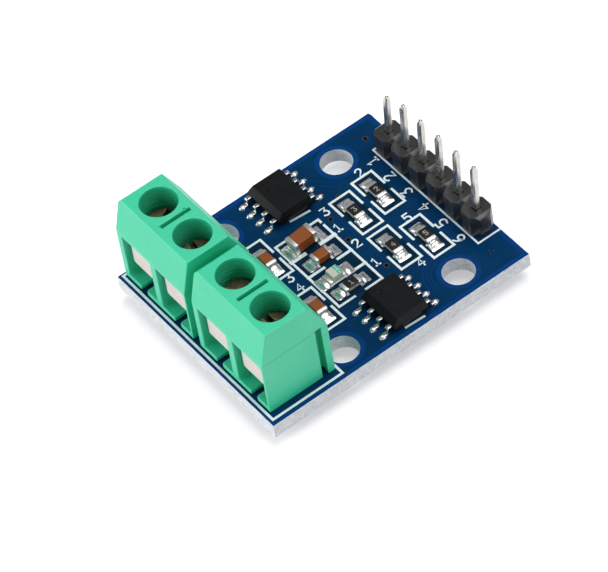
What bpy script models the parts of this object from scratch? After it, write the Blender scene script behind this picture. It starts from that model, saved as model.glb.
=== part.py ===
"""DC motor driver module: a blue circuit board with two screw terminal blocks, a pin header,
two driver chips and their small parts. Metres, +Z up, X along the terminal edge, Y from the
terminals to the header. The origin is under the middle of the board, on the plane that the
ends of the soldered pins stand on."""

from math import cos, pi, radians, sin

import bmesh
import bpy
from mathutils import Matrix, Vector

# Board
BOARD_THICKNESS = 0.0016
BOARD_SIDE_MARGIN = 0.00105
CORNER_NIB = 0.0004
PIN_END_BELOW_BOARD = 0.0014
MOUNT_HOLE_RADIUS = 0.00155
MOUNT_HOLE_SIDE_INSET = 0.00274
MOUNT_HOLE_BLOCK_GAP = 0.0019
MOUNT_HOLE_BACK_INSET = 0.0059
VIA_RADIUS = 0.00017

# Screw terminal blocks
TERMINAL_PITCH = 0.00508
CENTRE_WALL = 0.00088
SIDE_WALL = 0.00033
SIDE_PANEL = 0.00042
BLOCK_GAP = 0.001
BLOCK_FRONT_INSET = 0.0007
BLOCK_DEPTH = 0.0072
BLOCK_HEIGHT = 0.00985
BLOCK_STANDOFF = 0.00012
BLOCK_SHOULDER = 0.0064
BLOCK_FRONT_SLOPE = 0.0009
BLOCK_BACK_SLOPE = 0.00175
LOWER_STEP = 0.00005
ENTRY_TOP = 0.0059
FLOOR_THICKNESS = 0.0005
SLOT_WALL = 0.00014
NOTCH_WIDTH = 0.00074
NOTCH_BACK_CLEARANCE = 0.00045
FOOT_ROUND = 0.0003
BORE_RADIUS = 0.00178
BORE_INSET = 0.0033
TOP_SLOT_WIDTH = 0.0004
TOP_SLOT_LENGTH = 0.0033
TOP_SLOT_DEPTH = 0.0022
DOVETAIL_INSET = 0.00105
DOVETAIL_MOUTH = 0.0005
DOVETAIL_ROOT = 0.0007
DOVETAIL_DEPTH = 0.00045

# Metal inside each terminal
SHEET_CLEARANCE = 0.00006
CONTACT_TOP_THICKNESS = 0.0009
CONTACT_STRIP_THICKNESS = 0.0004
CONTACT_FLOOR_SETBACK = 0.0016
CONTACT_PIN_WIDTH = 0.0006
CONTACT_PIN_DEPTH = 0.0009
LEAF_THICKNESS = 0.00035
LEAF_SETBACK = 0.0005
LEAF_SIDE_CLEARANCE = 0.00025
LEAF_FRONT_CLEARANCE = 0.0002
LEAF_BACK_CLEARANCE = 0.00025
LEAF_TOP_CLEARANCE = 0.001
LEAF_BOTTOM = 0.0022
LEAF_BEND = 0.0005
LEAF_CORNER = 0.0005
SHANK_RADIUS = 0.00125
SCREW_TRAVEL = 0.00069
SCREW_HEAD_HEIGHT = 0.00095
SCREW_HEAD_CLEARANCE = 0.00018
SCREW_CLEARANCE = 0.00004
SCREW_SLOT_WIDTH = 0.0006
SCREW_SLOT_DEPTH = 0.0006
SCREW_CHAMFER = 0.00015
SCREW_SLOT_ANGLES = (120, -10, 66, 2)

# Rows of parts, each measured from the row in front of it
CAPACITOR_ROW_SETBACK = 0.00297
LADDER_ROW_SETBACK = 0.00391
CHIP_ROW_SETBACK = 0.00137
RESISTOR_ROW_SETBACK = 0.00418
RESISTOR_ROW_PITCH = 0.00297
HEADER_ROW_SETBACK = 0.00425

# Pin header
HEADER_PITCH = 0.00254
HEADER_PINS = 6
HEADER_OFFSET = -0.00035
HEADER_BODY_DEPTH = 0.0025
HEADER_BODY_HEIGHT = 0.0025
HEADER_NECK = 0.0012
HEADER_GROOVE = 0.0003
PIN_WIDTH = 0.00064
PIN_RISE = 0.0056
PIN_TIP = 0.00028
PIN_TAPER = 0.0005
PIN_LEAN_SIDE = 0.0003
PIN_LEAN_BACK = 0.00015
FIRST_PIN_SHORTFALL = 0.0009
PIN_CLEARANCE = 0.00003

# Driver chips
CHIP_SIDE_INSET = 0.00325
CHIP_LENGTH = 0.0049
CHIP_WIDTH = 0.0039
CHIP_HEIGHT = 0.0016
CHIP_STANDOFF = 0.00012
CHIP_DRAFT = 0.0002
CHIP_BEVEL = 0.0004
CHIP_DIMPLE_RADIUS = 0.00035
CHIP_DIMPLE_DEPTH = 0.00005
LEAD_PITCH = 0.00127
LEAD_WIDTH = 0.00041
LEAD_THICKNESS = 0.0002
LEAD_REACH = 0.0011
LEAD_FOOT = 0.0006
LEAD_SHOULDER = 0.00028
LEADS_PER_SIDE = 4

# Small chip parts
RESISTOR_LENGTH = 0.002
RESISTOR_WIDTH = 0.00105
RESISTOR_HEIGHT = 0.0005
CAPACITOR_LENGTH = 0.0019
CAPACITOR_WIDTH = 0.0011
CAPACITOR_HEIGHT = 0.0008
LARGE_CAPACITOR_LENGTH = 0.0026
LARGE_CAPACITOR_WIDTH = 0.0015
LARGE_CAPACITOR_HEIGHT = 0.00125
LARGE_CAPACITOR_TILT = 5
LED_LENGTH = 0.002
LED_WIDTH = 0.00125
LED_BASE_HEIGHT = 0.0003
LED_LENS_LENGTH = 0.0012
LED_LENS_HEIGHT = 0.00048
LED_LENS_TAPER = 0.0001
END_CAP_LENGTH = 0.0004
END_CAP_SWELL = 0.00003

# Solder
PAD_THICKNESS = 0.00004
PAD_LENGTH = 0.0011
PAD_MARGIN = 0.00018
PAD_UNDER_PART = 0.0003
CHIP_PART_LIFT = 0.00006
SOLDER_GAP = 0.00003
SOLDER_SINK = 0.00005
SOLDER_CLIMB = 0.75
LEAD_SOLDER_LENGTH = 0.00055
JOINT_HEIGHT = 0.0009
JOINT_SPREAD = 0.00045
JOINT_WALL = 0.00008

BOARD_UNDERSIDE = PIN_END_BELOW_BOARD
BOARD_TOP = BOARD_UNDERSIDE + BOARD_THICKNESS

# Widths that follow from the terminals' pitch and walls
ENTRY_WIDTH = TERMINAL_PITCH - CENTRE_WALL
BLOCK_HALF_WIDTH = (TERMINAL_PITCH + ENTRY_WIDTH) / 2 + SIDE_WALL
BLOCK_PITCH = 2 * BLOCK_HALF_WIDTH + SIDE_PANEL + BLOCK_GAP
BOARD_WIDTH = BLOCK_PITCH + 2 * (BLOCK_HALF_WIDTH + BOARD_SIDE_MARGIN)

# Places along the board's depth
BORE_LINE = BLOCK_FRONT_INSET + BORE_INSET
BLOCK_BACK = BLOCK_FRONT_INSET + BLOCK_DEPTH
CAPACITOR_ROW = BLOCK_BACK + CAPACITOR_ROW_SETBACK
LADDER_ROW = CAPACITOR_ROW + LADDER_ROW_SETBACK
CHIP_ROW = LADDER_ROW + CHIP_ROW_SETBACK
FRONT_RESISTOR_ROW = CHIP_ROW + RESISTOR_ROW_SETBACK
BACK_RESISTOR_ROW = FRONT_RESISTOR_ROW + RESISTOR_ROW_PITCH
HEADER_ROW = BACK_RESISTOR_ROW + HEADER_ROW_SETBACK
BOARD_DEPTH = HEADER_ROW + HEADER_BODY_DEPTH / 2

# Sizes inside a terminal that follow from its entry
BACK_WALL = DOVETAIL_INSET + DOVETAIL_ROOT / 2 + SHEET_CLEARANCE + SLOT_WALL
ENTRY_BACK = BLOCK_DEPTH - BACK_WALL
FLOOR_TOP = BLOCK_STANDOFF + FLOOR_THICKNESS
CONTACT_BACK = ENTRY_BACK - SHEET_CLEARANCE
CONTACT_FRONT_SETBACK = LEAF_SETBACK + LEAF_THICKNESS + LEAF_FRONT_CLEARANCE
LEAF_WIDTH = ENTRY_WIDTH - 2 * LEAF_SIDE_CLEARANCE
LEAF_REACH = CONTACT_BACK - CONTACT_STRIP_THICKNESS - LEAF_BACK_CLEARANCE - LEAF_SETBACK
LEAF_HEIGHT = ENTRY_TOP - LEAF_TOP_CLEARANCE - LEAF_BOTTOM
SCREW_BOTTOM = LEAF_BOTTOM + LEAF_THICKNESS + SCREW_CLEARANCE
SHANK_LENGTH = ENTRY_TOP + SCREW_TRAVEL - SHEET_CLEARANCE + SCREW_CLEARANCE - SCREW_BOTTOM
SCREW_HEAD_RADIUS = BORE_RADIUS - SCREW_HEAD_CLEARANCE
LEAD_SPAN = CHIP_WIDTH + 2 * LEAD_REACH

# Sizes of the two-ended parts, as length, width and height
RESISTOR = (RESISTOR_LENGTH, RESISTOR_WIDTH, RESISTOR_HEIGHT)
CAPACITOR = (CAPACITOR_LENGTH, CAPACITOR_WIDTH, CAPACITOR_HEIGHT)
LARGE_CAPACITOR = (LARGE_CAPACITOR_LENGTH, LARGE_CAPACITOR_WIDTH, LARGE_CAPACITOR_HEIGHT)
LED_BASE = (LED_LENGTH, LED_WIDTH, LED_BASE_HEIGHT)

# Each part's place: from the board's middle line, from its row, and its turn in degrees
RESISTORS = (
    (0.00372, LADDER_ROW + 0.00005, 90),
    (-0.0034, BACK_RESISTOR_ROW, 0),
    (-0.00285, FRONT_RESISTOR_ROW, 0),
    (0.0028, FRONT_RESISTOR_ROW, 0),
    (0.0038, BACK_RESISTOR_ROW, 0),
)
CAPACITORS = (
    (-0.00315, LADDER_ROW - 0.00008, 91, LARGE_CAPACITOR),
    (-0.00065, LADDER_ROW + 0.00004, 91, CAPACITOR),
    (-0.0036, CAPACITOR_ROW, 0, CAPACITOR),
    (0.00392, CAPACITOR_ROW, 0, CAPACITOR),
)
LED_PLACE = (0.00185, LADDER_ROW - 0.0004)
VIAS = (
    (-0.00938, HEADER_ROW - 0.00098),
    (-0.00546, FRONT_RESISTOR_ROW + 0.00014),
    (-0.00381, CHIP_ROW + 0.00213),
    (-0.00079, CHIP_ROW + 0.00181),
    (0.00397, CHIP_ROW + 0.00247),
)


def place(x, y, z=0.0):
    """The point x from the board's middle line, y from its front edge and z above its top."""
    return Vector((x, y - BOARD_DEPTH / 2, z + BOARD_TOP))


def block_centre(index):
    return (index - 0.5) * BLOCK_PITCH


def terminal_centre(index):
    block, side = divmod(index, 2)
    return block_centre(block) + (side - 0.5) * TERMINAL_PITCH


def pin_place(index):
    return HEADER_OFFSET + (index - (HEADER_PINS - 1) / 2) * HEADER_PITCH


def chip_centre(index):
    side = 1 if index else -1
    return side * (BOARD_WIDTH / 2 - CHIP_SIDE_INSET)


# Tools
def clear_scene():
    for old in list(bpy.data.objects):
        bpy.data.objects.remove(old, do_unlink=True)


def make_material(name, colour, roughness, metallic=0.0):
    material = bpy.data.materials.new(name)
    material.use_nodes = True
    shader = material.node_tree.nodes["Principled BSDF"]
    shader.inputs["Base Color"].default_value = (*colour, 1.0)
    shader.inputs["Roughness"].default_value = roughness
    shader.inputs["Metallic"].default_value = metallic
    material.diffuse_color = (*colour, 1.0)
    return material


def add_object(name, mesh_maker, material=None, origin=(0.0, 0.0, 0.0), smooth_above=None):
    """Makes an object from a bmesh, with its own origin and outward faces."""
    bmesh.ops.recalc_face_normals(mesh_maker, faces=mesh_maker.faces)
    mesh = bpy.data.meshes.new(name)
    mesh_maker.to_mesh(mesh)
    mesh_maker.free()
    made = bpy.data.objects.new(name, mesh)
    made.location = origin
    bpy.context.scene.collection.objects.link(made)
    if material:
        mesh.materials.append(material)
    if smooth_above:
        mesh.shade_smooth()
        mesh.set_sharp_from_angle(angle=radians(smooth_above))
    return made


def add_cutter(name, mesh_maker):
    cutter = add_object(name, mesh_maker)
    cutter.hide_render = True
    cutter.display_type = "WIRE"
    return cutter


def combine(target, tool, operation):
    modifier = target.modifiers.new(f"{operation} {tool.name}", "BOOLEAN")
    modifier.operation = operation
    modifier.object = tool
    modifier.solver = "EXACT"


def add_prism(mesh_maker, outline, axis, low, high):
    """Extrudes a closed 2D outline along X, Y or Z. Along X the outline holds (y, z) points,
    along Y it holds (x, z) and along Z it holds (x, y)."""
    order = {"X": lambda a, b, c: (c, a, b), "Y": lambda a, b, c: (a, c, b), "Z": lambda a, b, c: (a, b, c)}
    rings = []
    for level in (low, high):
        rings.append([mesh_maker.verts.new(order[axis](a, b, level)) for a, b in outline])
    bridge_rings(mesh_maker, rings)
    return [vert for ring in rings for vert in ring]


def bridge_rings(mesh_maker, rings, close_ends=True):
    """Joins rings of as many points each, and closes the first and the last."""
    count = len(rings[0])
    for lower, upper in zip(rings, rings[1:]):
        for i in range(count):
            j = (i + 1) % count
            mesh_maker.faces.new((lower[i], lower[j], upper[j], upper[i]))
    if close_ends:
        mesh_maker.faces.new(reversed(rings[0]))
        mesh_maker.faces.new(rings[-1])


def add_box(mesh_maker, low, high):
    outline = ((low[0], low[1]), (high[0], low[1]), (high[0], high[1]), (low[0], high[1]))
    return add_prism(mesh_maker, outline, "Z", low[2], high[2])


def circle(radius, centre, sides):
    turns = [2 * pi * i / sides for i in range(sides)]
    return [(centre[0] + radius * cos(t), centre[1] + radius * sin(t)) for t in turns]


def add_turned(mesh_maker, profile, sides, centre=(0.0, 0.0)):
    """Turns (radius, height) points about a vertical axis. The profile is open, and its ends
    are closed by flat discs."""
    rings = []
    for radius, height in profile:
        ring = [mesh_maker.verts.new((x, y, height)) for x, y in circle(radius, centre, sides)]
        rings.append(ring)
    bridge_rings(mesh_maker, rings)


def add_turned_ring(mesh_maker, profile, sides, centre):
    """Turns a closed (radius, height) outline about a vertical axis, which makes a ring."""
    rings = []
    for turn in range(sides):
        angle = 2 * pi * turn / sides
        ring = []
        for radius, height in profile:
            spot = (centre[0] + radius * cos(angle), centre[1] + radius * sin(angle), height)
            ring.append(mesh_maker.verts.new(spot))
        rings.append(ring)
    bridge_rings(mesh_maker, rings + rings[:1], close_ends=False)


def moved(points, offset):
    return [(a + offset[0], b + offset[1]) for a, b in points]


# Board
def corner_outline():
    """The board's outline, with the small nib that its back left corner keeps."""
    half_width, half_depth = BOARD_WIDTH / 2, BOARD_DEPTH / 2
    return [
        (-half_width, -half_depth),
        (half_width, -half_depth),
        (half_width, half_depth),
        (-half_width + CORNER_NIB, half_depth),
        (-half_width, half_depth - CORNER_NIB / 4),
    ]


def board_holes():
    """(x, y, radius, sides) of every hole through the board."""
    holes = []
    side = BOARD_WIDTH / 2 - MOUNT_HOLE_SIDE_INSET
    for x in (-side, side):
        for y in (BLOCK_BACK + MOUNT_HOLE_BLOCK_GAP, BOARD_DEPTH - MOUNT_HOLE_BACK_INSET):
            holes.append((x, y, MOUNT_HOLE_RADIUS, 48))
    for index in range(4):
        holes.append((terminal_centre(index), BORE_LINE, terminal_hole_radius(), 16))
    for index in range(HEADER_PINS):
        holes.append((pin_place(index), HEADER_ROW, header_hole_radius(), 12))
    for x, y in VIAS:
        holes.append((x, y, VIA_RADIUS, 8))
    return holes


def terminal_hole_radius():
    return Vector((CONTACT_PIN_WIDTH, CONTACT_PIN_DEPTH)).length / 2 + PIN_CLEARANCE


def header_hole_radius():
    return Vector((PIN_WIDTH, PIN_WIDTH)).length / 2 + PIN_CLEARANCE


def solder_columns(face, length, height):
    """(distance, height) down a solder fillet, from under the part to the pad's outer end."""
    columns = [(face - PAD_UNDER_PART, PAD_THICKNESS), (face + SOLDER_GAP / 2, PAD_THICKNESS)]
    steps = 5
    for step in range(steps + 1):
        share = step / steps
        fall = (1 - share) ** 1.7
        columns.append((face + SOLDER_GAP + share * length, PAD_THICKNESS + height * fall))
    return columns


def add_solder(mesh_maker, origin, turn, face, length, half_width, height):
    """A pad and its fillet of solder, which run outwards along the turned X axis from a
    part's end face at the distance face from origin."""
    rows = 6
    columns = solder_columns(face, length, height)
    frame = Matrix.Translation(origin) @ Matrix.Rotation(radians(turn), 4, "Z")
    top = []
    for distance, level in columns:
        line = []
        for row in range(rows + 1):
            across = 2 * row / rows - 1
            crown = PAD_THICKNESS + (level - PAD_THICKNESS) * (1 - abs(across) ** 3)
            spot = frame @ Vector((distance, across * half_width, crown))
            line.append(mesh_maker.verts.new(spot))
        top.append(line)
    for left, right in zip(top, top[1:]):
        for row in range(rows):
            mesh_maker.faces.new((left[row], right[row], right[row + 1], left[row + 1]))
    rim = [line[0] for line in top] + top[-1][1:]
    rim += [line[-1] for line in reversed(top[:-1])] + list(reversed(top[0][1:-1]))
    base = []
    for vert in rim:
        local = frame.inverted() @ vert.co
        base.append(mesh_maker.verts.new(frame @ Vector((local.x, local.y, -SOLDER_SINK))))
    for i, vert in enumerate(rim):
        j = (i + 1) % len(rim)
        mesh_maker.faces.new((base[i], base[j], rim[j], vert))
    mesh_maker.faces.new(list(reversed(base)))


def small_parts():
    """(x, y, turn, size) of every two-ended part on the board."""
    parts = [(x, y, turn, RESISTOR) for x, y, turn in RESISTORS]
    return parts + list(CAPACITORS) + [(*LED_PLACE, 90, LED_BASE)]


def make_solder_tool():
    """All pads and fillets on top of the board, as one tool that is joined to it."""
    mesh_maker = bmesh.new()
    for x, y, turn, size in small_parts():
        length, width, height = size
        for flip in (0, 180):
            add_solder(
                mesh_maker,
                place(x, y),
                turn + flip,
                length / 2 + END_CAP_SWELL,
                PAD_LENGTH,
                width / 2 + PAD_MARGIN,
                min(height, PAD_LENGTH) * SOLDER_CLIMB,
            )
    for chip in range(2):
        for offset in lead_offsets():
            for flip in (-90, 90):
                add_solder(
                    mesh_maker,
                    place(chip_centre(chip) + offset, CHIP_ROW),
                    flip,
                    LEAD_SPAN / 2,
                    LEAD_SOLDER_LENGTH,
                    LEAD_WIDTH / 2 + PAD_MARGIN / 2,
                    LEAD_THICKNESS,
                )
    return add_cutter("solder_tool", mesh_maker)


def make_board(material):
    mesh_maker = bmesh.new()
    add_prism(mesh_maker, corner_outline(), "Z", BOARD_UNDERSIDE, BOARD_TOP)
    board = add_object("pcb", mesh_maker, material)
    combine(board, make_solder_tool(), "UNION")
    drill = bmesh.new()
    for x, y, radius, sides in board_holes():
        spot = place(x, y)
        outline = circle(radius, spot, sides)
        add_prism(drill, outline, "Z", BOARD_UNDERSIDE - BOARD_THICKNESS, BOARD_TOP + BOARD_THICKNESS)
    combine(board, add_cutter("board_drill", drill), "DIFFERENCE")
    return board


# Screw terminal blocks
def block_profile():
    """The block's side view as (y, z) points from its front edge and the board's top."""
    return [
        (0.0, BLOCK_STANDOFF),
        (BLOCK_DEPTH, BLOCK_STANDOFF),
        (BLOCK_DEPTH, BLOCK_SHOULDER),
        (BLOCK_DEPTH - BLOCK_BACK_SLOPE, BLOCK_HEIGHT),
        (BLOCK_FRONT_SLOPE, BLOCK_HEIGHT),
        (0.0, BLOCK_SHOULDER),
    ]


def dovetail_outline(side, clearance):
    """The plan of the joining rib or slot, as (x, y) points from the block's centre."""
    edge = side * BLOCK_HALF_WIDTH if side > 0 else -BLOCK_HALF_WIDTH - SIDE_PANEL
    middle = BLOCK_DEPTH - DOVETAIL_INSET
    mouth = DOVETAIL_MOUTH / 2 + clearance
    root = DOVETAIL_ROOT / 2 + clearance
    inner = edge - DOVETAIL_DEPTH - clearance
    if side < 0:
        return [
            (edge + SIDE_PANEL / 2, middle - mouth),
            (edge, middle - mouth),
            (inner, middle - root),
            (inner, middle + root),
            (edge, middle + mouth),
            (edge + SIDE_PANEL / 2, middle + mouth),
        ]
    return [
        (edge + DOVETAIL_DEPTH, middle - mouth),
        (edge, middle - mouth),
        (inner, middle - root),
        (inner, middle + root),
        (edge, middle + mouth),
        (edge + DOVETAIL_DEPTH, middle + mouth),
    ]


def make_block(index, material):
    origin = place(block_centre(index), BLOCK_FRONT_INSET)
    half = TERMINAL_PITCH / 2
    shape = bmesh.new()
    left = -BLOCK_HALF_WIDTH - SIDE_PANEL
    add_prism(shape, block_profile(), "X", left, BLOCK_HALF_WIDTH)
    bmesh.ops.bisect_plane(
        shape,
        geom=shape.verts[:] + shape.edges[:] + shape.faces[:],
        plane_co=(-BLOCK_HALF_WIDTH, 0.0, BLOCK_HEIGHT),
        plane_no=(-1.0, 0.0, 1.0),
        clear_outer=True,
    )
    bmesh.ops.holes_fill(shape, edges=shape.edges, sides=8)
    block = add_object(f"terminal_housing_{index + 1}", shape, material, origin)

    rib = bmesh.new()
    add_prism(rib, dovetail_outline(-1, 0.0), "Z", BLOCK_STANDOFF, BLOCK_SHOULDER)
    rib_tool = add_cutter(f"block_rib_{index + 1}", rib)
    rib_tool.location = origin
    combine(block, rib_tool, "UNION")

    ends = bmesh.new()
    low = BLOCK_STANDOFF - FLOOR_THICKNESS
    outline = dovetail_outline(1, SHEET_CLEARANCE)
    add_prism(ends, outline, "Z", low, BLOCK_SHOULDER)
    slot_tool = add_cutter(f"block_slot_{index + 1}", ends)
    slot_tool.location = origin
    combine(block, slot_tool, "DIFFERENCE")

    step = bmesh.new()
    add_box(
        step,
        (BLOCK_HALF_WIDTH - LOWER_STEP, -BLOCK_DEPTH, low),
        (BLOCK_HALF_WIDTH + FLOOR_THICKNESS, 2 * BLOCK_DEPTH, BLOCK_SHOULDER - LOWER_STEP),
    )
    step_tool = add_cutter(f"block_step_{index + 1}", step)
    step_tool.location = origin
    combine(block, step_tool, "DIFFERENCE")

    entries = bmesh.new()
    for side in (-half, half):
        add_box(
            entries,
            (side - ENTRY_WIDTH / 2, -BLOCK_DEPTH, FLOOR_TOP),
            (side + ENTRY_WIDTH / 2, ENTRY_BACK, ENTRY_TOP),
        )
    entry_tool = add_cutter(f"block_entries_{index + 1}", entries)
    entry_tool.location = origin
    combine(block, entry_tool, "DIFFERENCE")

    notches = bmesh.new()
    for side in (-half, half):
        add_prism(notches, notch_outline(side), "Z", low, FLOOR_TOP + FLOOR_THICKNESS)
    notch_tool = add_cutter(f"block_notches_{index + 1}", notches)
    notch_tool.location = origin
    combine(block, notch_tool, "DIFFERENCE")

    bores = bmesh.new()
    for side in (-half, half):
        outline = circle(BORE_RADIUS, (side, BORE_INSET), 40)
        add_prism(bores, outline, "Z", ENTRY_TOP - CONTACT_TOP_THICKNESS / 2, BLOCK_HEIGHT * 1.1)
    add_box(
        bores,
        (-TOP_SLOT_WIDTH / 2, BORE_INSET - TOP_SLOT_LENGTH / 2, BLOCK_HEIGHT - TOP_SLOT_DEPTH),
        (TOP_SLOT_WIDTH / 2, BORE_INSET + TOP_SLOT_LENGTH / 2, BLOCK_HEIGHT * 1.1),
    )
    bore_tool = add_cutter(f"block_bores_{index + 1}", bores)
    bore_tool.location = origin
    combine(block, bore_tool, "DIFFERENCE")
    return block


def notch_outline(middle):
    """The notch through an entry's floor, which lets the contact's pin slide in from the
    front. The foot on its right has a rounded corner."""
    left = middle - NOTCH_WIDTH / 2
    right = middle + NOTCH_WIDTH / 2
    back = BORE_INSET + CONTACT_PIN_DEPTH / 2 + NOTCH_BACK_CLEARANCE
    points = [(left, back), (left, -BLOCK_FRONT_INSET), (right + FOOT_ROUND, -BLOCK_FRONT_INSET)]
    for step in range(5):
        angle = radians(90 * step / 4)
        x = right + FOOT_ROUND * (1 - sin(angle))
        y = FOOT_ROUND * (1 - cos(angle))
        points.append((x, y))
    points.append((right, back))
    return points


def contact_profile():
    """The folded contact's side view: threaded top, back leg and floor strip."""
    top = ENTRY_TOP - SHEET_CLEARANCE
    bottom = FLOOR_TOP + SHEET_CLEARANCE
    back = CONTACT_BACK
    inner = back - CONTACT_STRIP_THICKNESS
    return [
        (CONTACT_FRONT_SETBACK, top),
        (CONTACT_FRONT_SETBACK, top - CONTACT_TOP_THICKNESS),
        (inner, top - CONTACT_TOP_THICKNESS),
        (inner, bottom + CONTACT_STRIP_THICKNESS),
        (CONTACT_FLOOR_SETBACK, bottom + CONTACT_STRIP_THICKNESS),
        (CONTACT_FLOOR_SETBACK, bottom),
        (back, bottom),
        (back, top),
    ]


def make_contact(index, material):
    origin = place(terminal_centre(index), BLOCK_FRONT_INSET)
    half_width = ENTRY_WIDTH / 2 - SHEET_CLEARANCE
    strip = bmesh.new()
    add_prism(strip, contact_profile(), "X", -half_width, half_width)
    contact = add_object(f"terminal_contact_{index + 1}", strip, material, origin)

    pin = bmesh.new()
    tip = -BOARD_THICKNESS - PIN_END_BELOW_BOARD
    add_box(
        pin,
        (-CONTACT_PIN_WIDTH / 2, BORE_INSET - CONTACT_PIN_DEPTH / 2, tip),
        (CONTACT_PIN_WIDTH / 2, BORE_INSET + CONTACT_PIN_DEPTH / 2, FLOOR_TOP + CONTACT_STRIP_THICKNESS),
    )
    pin_tool = add_cutter(f"contact_pin_{index + 1}", pin)
    pin_tool.location = origin
    combine(contact, pin_tool, "UNION")

    thread = bmesh.new()
    outline = circle(SHANK_RADIUS + SCREW_CLEARANCE, (0.0, BORE_INSET), 32)
    add_prism(thread, outline, "Z", ENTRY_TOP - 2 * CONTACT_TOP_THICKNESS, ENTRY_TOP + CONTACT_TOP_THICKNESS)
    thread_tool = add_cutter(f"contact_thread_{index + 1}", thread)
    thread_tool.location = origin
    combine(contact, thread_tool, "DIFFERENCE")
    return contact


def leaf_profile():
    """The wire guard's side view, as (y, z) from the block's front and the leaf's underside:
    a front plate, a round bend and the foot that the screw presses on."""
    outer = LEAF_BEND
    inner = LEAF_BEND - LEAF_THICKNESS
    points = [(0.0, LEAF_HEIGHT)]
    for step in range(6):
        angle = radians(90 * step / 5)
        points.append((outer * (1 - cos(angle)), outer * (1 - sin(angle))))
    points += [(LEAF_REACH, 0.0), (LEAF_REACH, LEAF_THICKNESS)]
    for step in range(6):
        angle = radians(90 - 90 * step / 5)
        points.append((outer - inner * cos(angle), outer - inner * sin(angle)))
    points.append((LEAF_THICKNESS, LEAF_HEIGHT))
    return points


def make_leaf(index, material):
    origin = place(terminal_centre(index), BLOCK_FRONT_INSET + LEAF_SETBACK, LEAF_BOTTOM)
    shape = bmesh.new()
    add_prism(shape, leaf_profile(), "X", -LEAF_WIDTH / 2, LEAF_WIDTH / 2)
    leaf = add_object(f"clamp_leaf_{index + 1}", shape, material, origin)
    corners = bmesh.new()
    for side in (-1, 1):
        outline = (
            (side * LEAF_WIDTH / 2, LEAF_CORNER),
            (side * (LEAF_WIDTH / 2 - LEAF_CORNER), 0.0),
            (side * LEAF_WIDTH / 2, -LEAF_CORNER),
            (side * (LEAF_WIDTH / 2 + LEAF_CORNER), 0.0),
        )
        add_prism(corners, outline, "Y", -LEAF_THICKNESS, LEAF_BEND)
    corner_tool = add_cutter(f"leaf_corners_{index + 1}", corners)
    corner_tool.location = origin
    combine(leaf, corner_tool, "DIFFERENCE")
    return leaf


def make_screw(index, material):
    """A slotted terminal screw, with its origin on its own axis at its tip."""
    origin = place(terminal_centre(index), BORE_LINE, SCREW_BOTTOM)
    shape = bmesh.new()
    length = SHANK_LENGTH + SCREW_HEAD_HEIGHT
    profile = [
        (SHANK_RADIUS - SCREW_CHAMFER, 0.0),
        (SHANK_RADIUS, SCREW_CHAMFER),
        (SHANK_RADIUS, SHANK_LENGTH),
        (SCREW_HEAD_RADIUS, SHANK_LENGTH),
        (SCREW_HEAD_RADIUS, length - SCREW_CHAMFER),
        (SCREW_HEAD_RADIUS - SCREW_CHAMFER, length),
    ]
    add_turned(shape, profile, 32)
    screw = add_object(f"terminal_screw_{index + 1}", shape, material, origin, smooth_above=30)
    slot = bmesh.new()
    reach = 2 * SCREW_HEAD_RADIUS
    verts = add_box(
        slot,
        (-reach, -SCREW_SLOT_WIDTH / 2, length - SCREW_SLOT_DEPTH),
        (reach, SCREW_SLOT_WIDTH / 2, length + SCREW_SLOT_DEPTH),
    )
    turn = Matrix.Rotation(radians(SCREW_SLOT_ANGLES[index]), 3, "Z")
    bmesh.ops.rotate(slot, verts=verts, matrix=turn)
    slot_tool = add_cutter(f"screw_slot_{index + 1}", slot)
    slot_tool.location = origin
    combine(screw, slot_tool, "DIFFERENCE")
    return screw


def make_terminals(plastic, tin, steel, screw_metal):
    for block in range(2):
        make_block(block, plastic)
    for index in range(4):
        make_contact(index, tin)
        axis = bpy.data.objects.new(f"terminal_axis_{index + 1}", None)
        axis.location = place(terminal_centre(index), BORE_LINE)
        axis.empty_display_size = SHANK_RADIUS
        bpy.context.scene.collection.objects.link(axis)
        for piece in (make_leaf(index, steel), make_screw(index, screw_metal)):
            piece.parent = axis
            piece.location = piece.location - axis.location


# Pin header
def header_outline():
    """Eight-sided cells in a row, joined at their necks, as (x, y) from the header's left end
    and its middle line."""
    half = HEADER_BODY_DEPTH / 2
    neck = HEADER_NECK / 2
    corner = half - neck
    front = []
    for cell in range(HEADER_PINS):
        left = cell * HEADER_PITCH
        front += [(left, -neck), (left + corner, -half), (left + HEADER_PITCH - corner, -half)]
    front.append((HEADER_PINS * HEADER_PITCH, -neck))
    back = [(x, -y) for x, y in reversed(front)]
    return front + back


def make_header(plastic, tin):
    left = HEADER_OFFSET - HEADER_PINS * HEADER_PITCH / 2
    origin = place(left, HEADER_ROW, PIN_CLEARANCE)
    shape = bmesh.new()
    add_prism(shape, header_outline(), "Z", 0.0, HEADER_BODY_HEIGHT)
    header = add_object("header_body", shape, plastic, origin)

    grooves = bmesh.new()
    for cell in range(HEADER_PINS + 1):
        middle = cell * HEADER_PITCH
        outline = (
            (middle, HEADER_BODY_HEIGHT - HEADER_GROOVE),
            (middle + 2 * HEADER_GROOVE, HEADER_BODY_HEIGHT + HEADER_GROOVE),
            (middle - 2 * HEADER_GROOVE, HEADER_BODY_HEIGHT + HEADER_GROOVE),
        )
        add_prism(grooves, outline, "Y", -HEADER_BODY_DEPTH, HEADER_BODY_DEPTH)
    groove_tool = add_cutter("header_grooves", grooves)
    groove_tool.location = origin
    combine(header, groove_tool, "DIFFERENCE")

    holes = bmesh.new()
    half = PIN_WIDTH / 2 + PIN_CLEARANCE
    for cell in range(HEADER_PINS):
        middle = (cell + 0.5) * HEADER_PITCH
        add_box(
            holes,
            (middle - half, -half, -HEADER_BODY_HEIGHT),
            (middle + half, half, 2 * HEADER_BODY_HEIGHT),
        )
    hole_tool = add_cutter("header_holes", holes)
    hole_tool.location = origin
    combine(header, hole_tool, "DIFFERENCE")

    for index in range(HEADER_PINS):
        make_header_pin(index, tin)


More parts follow.
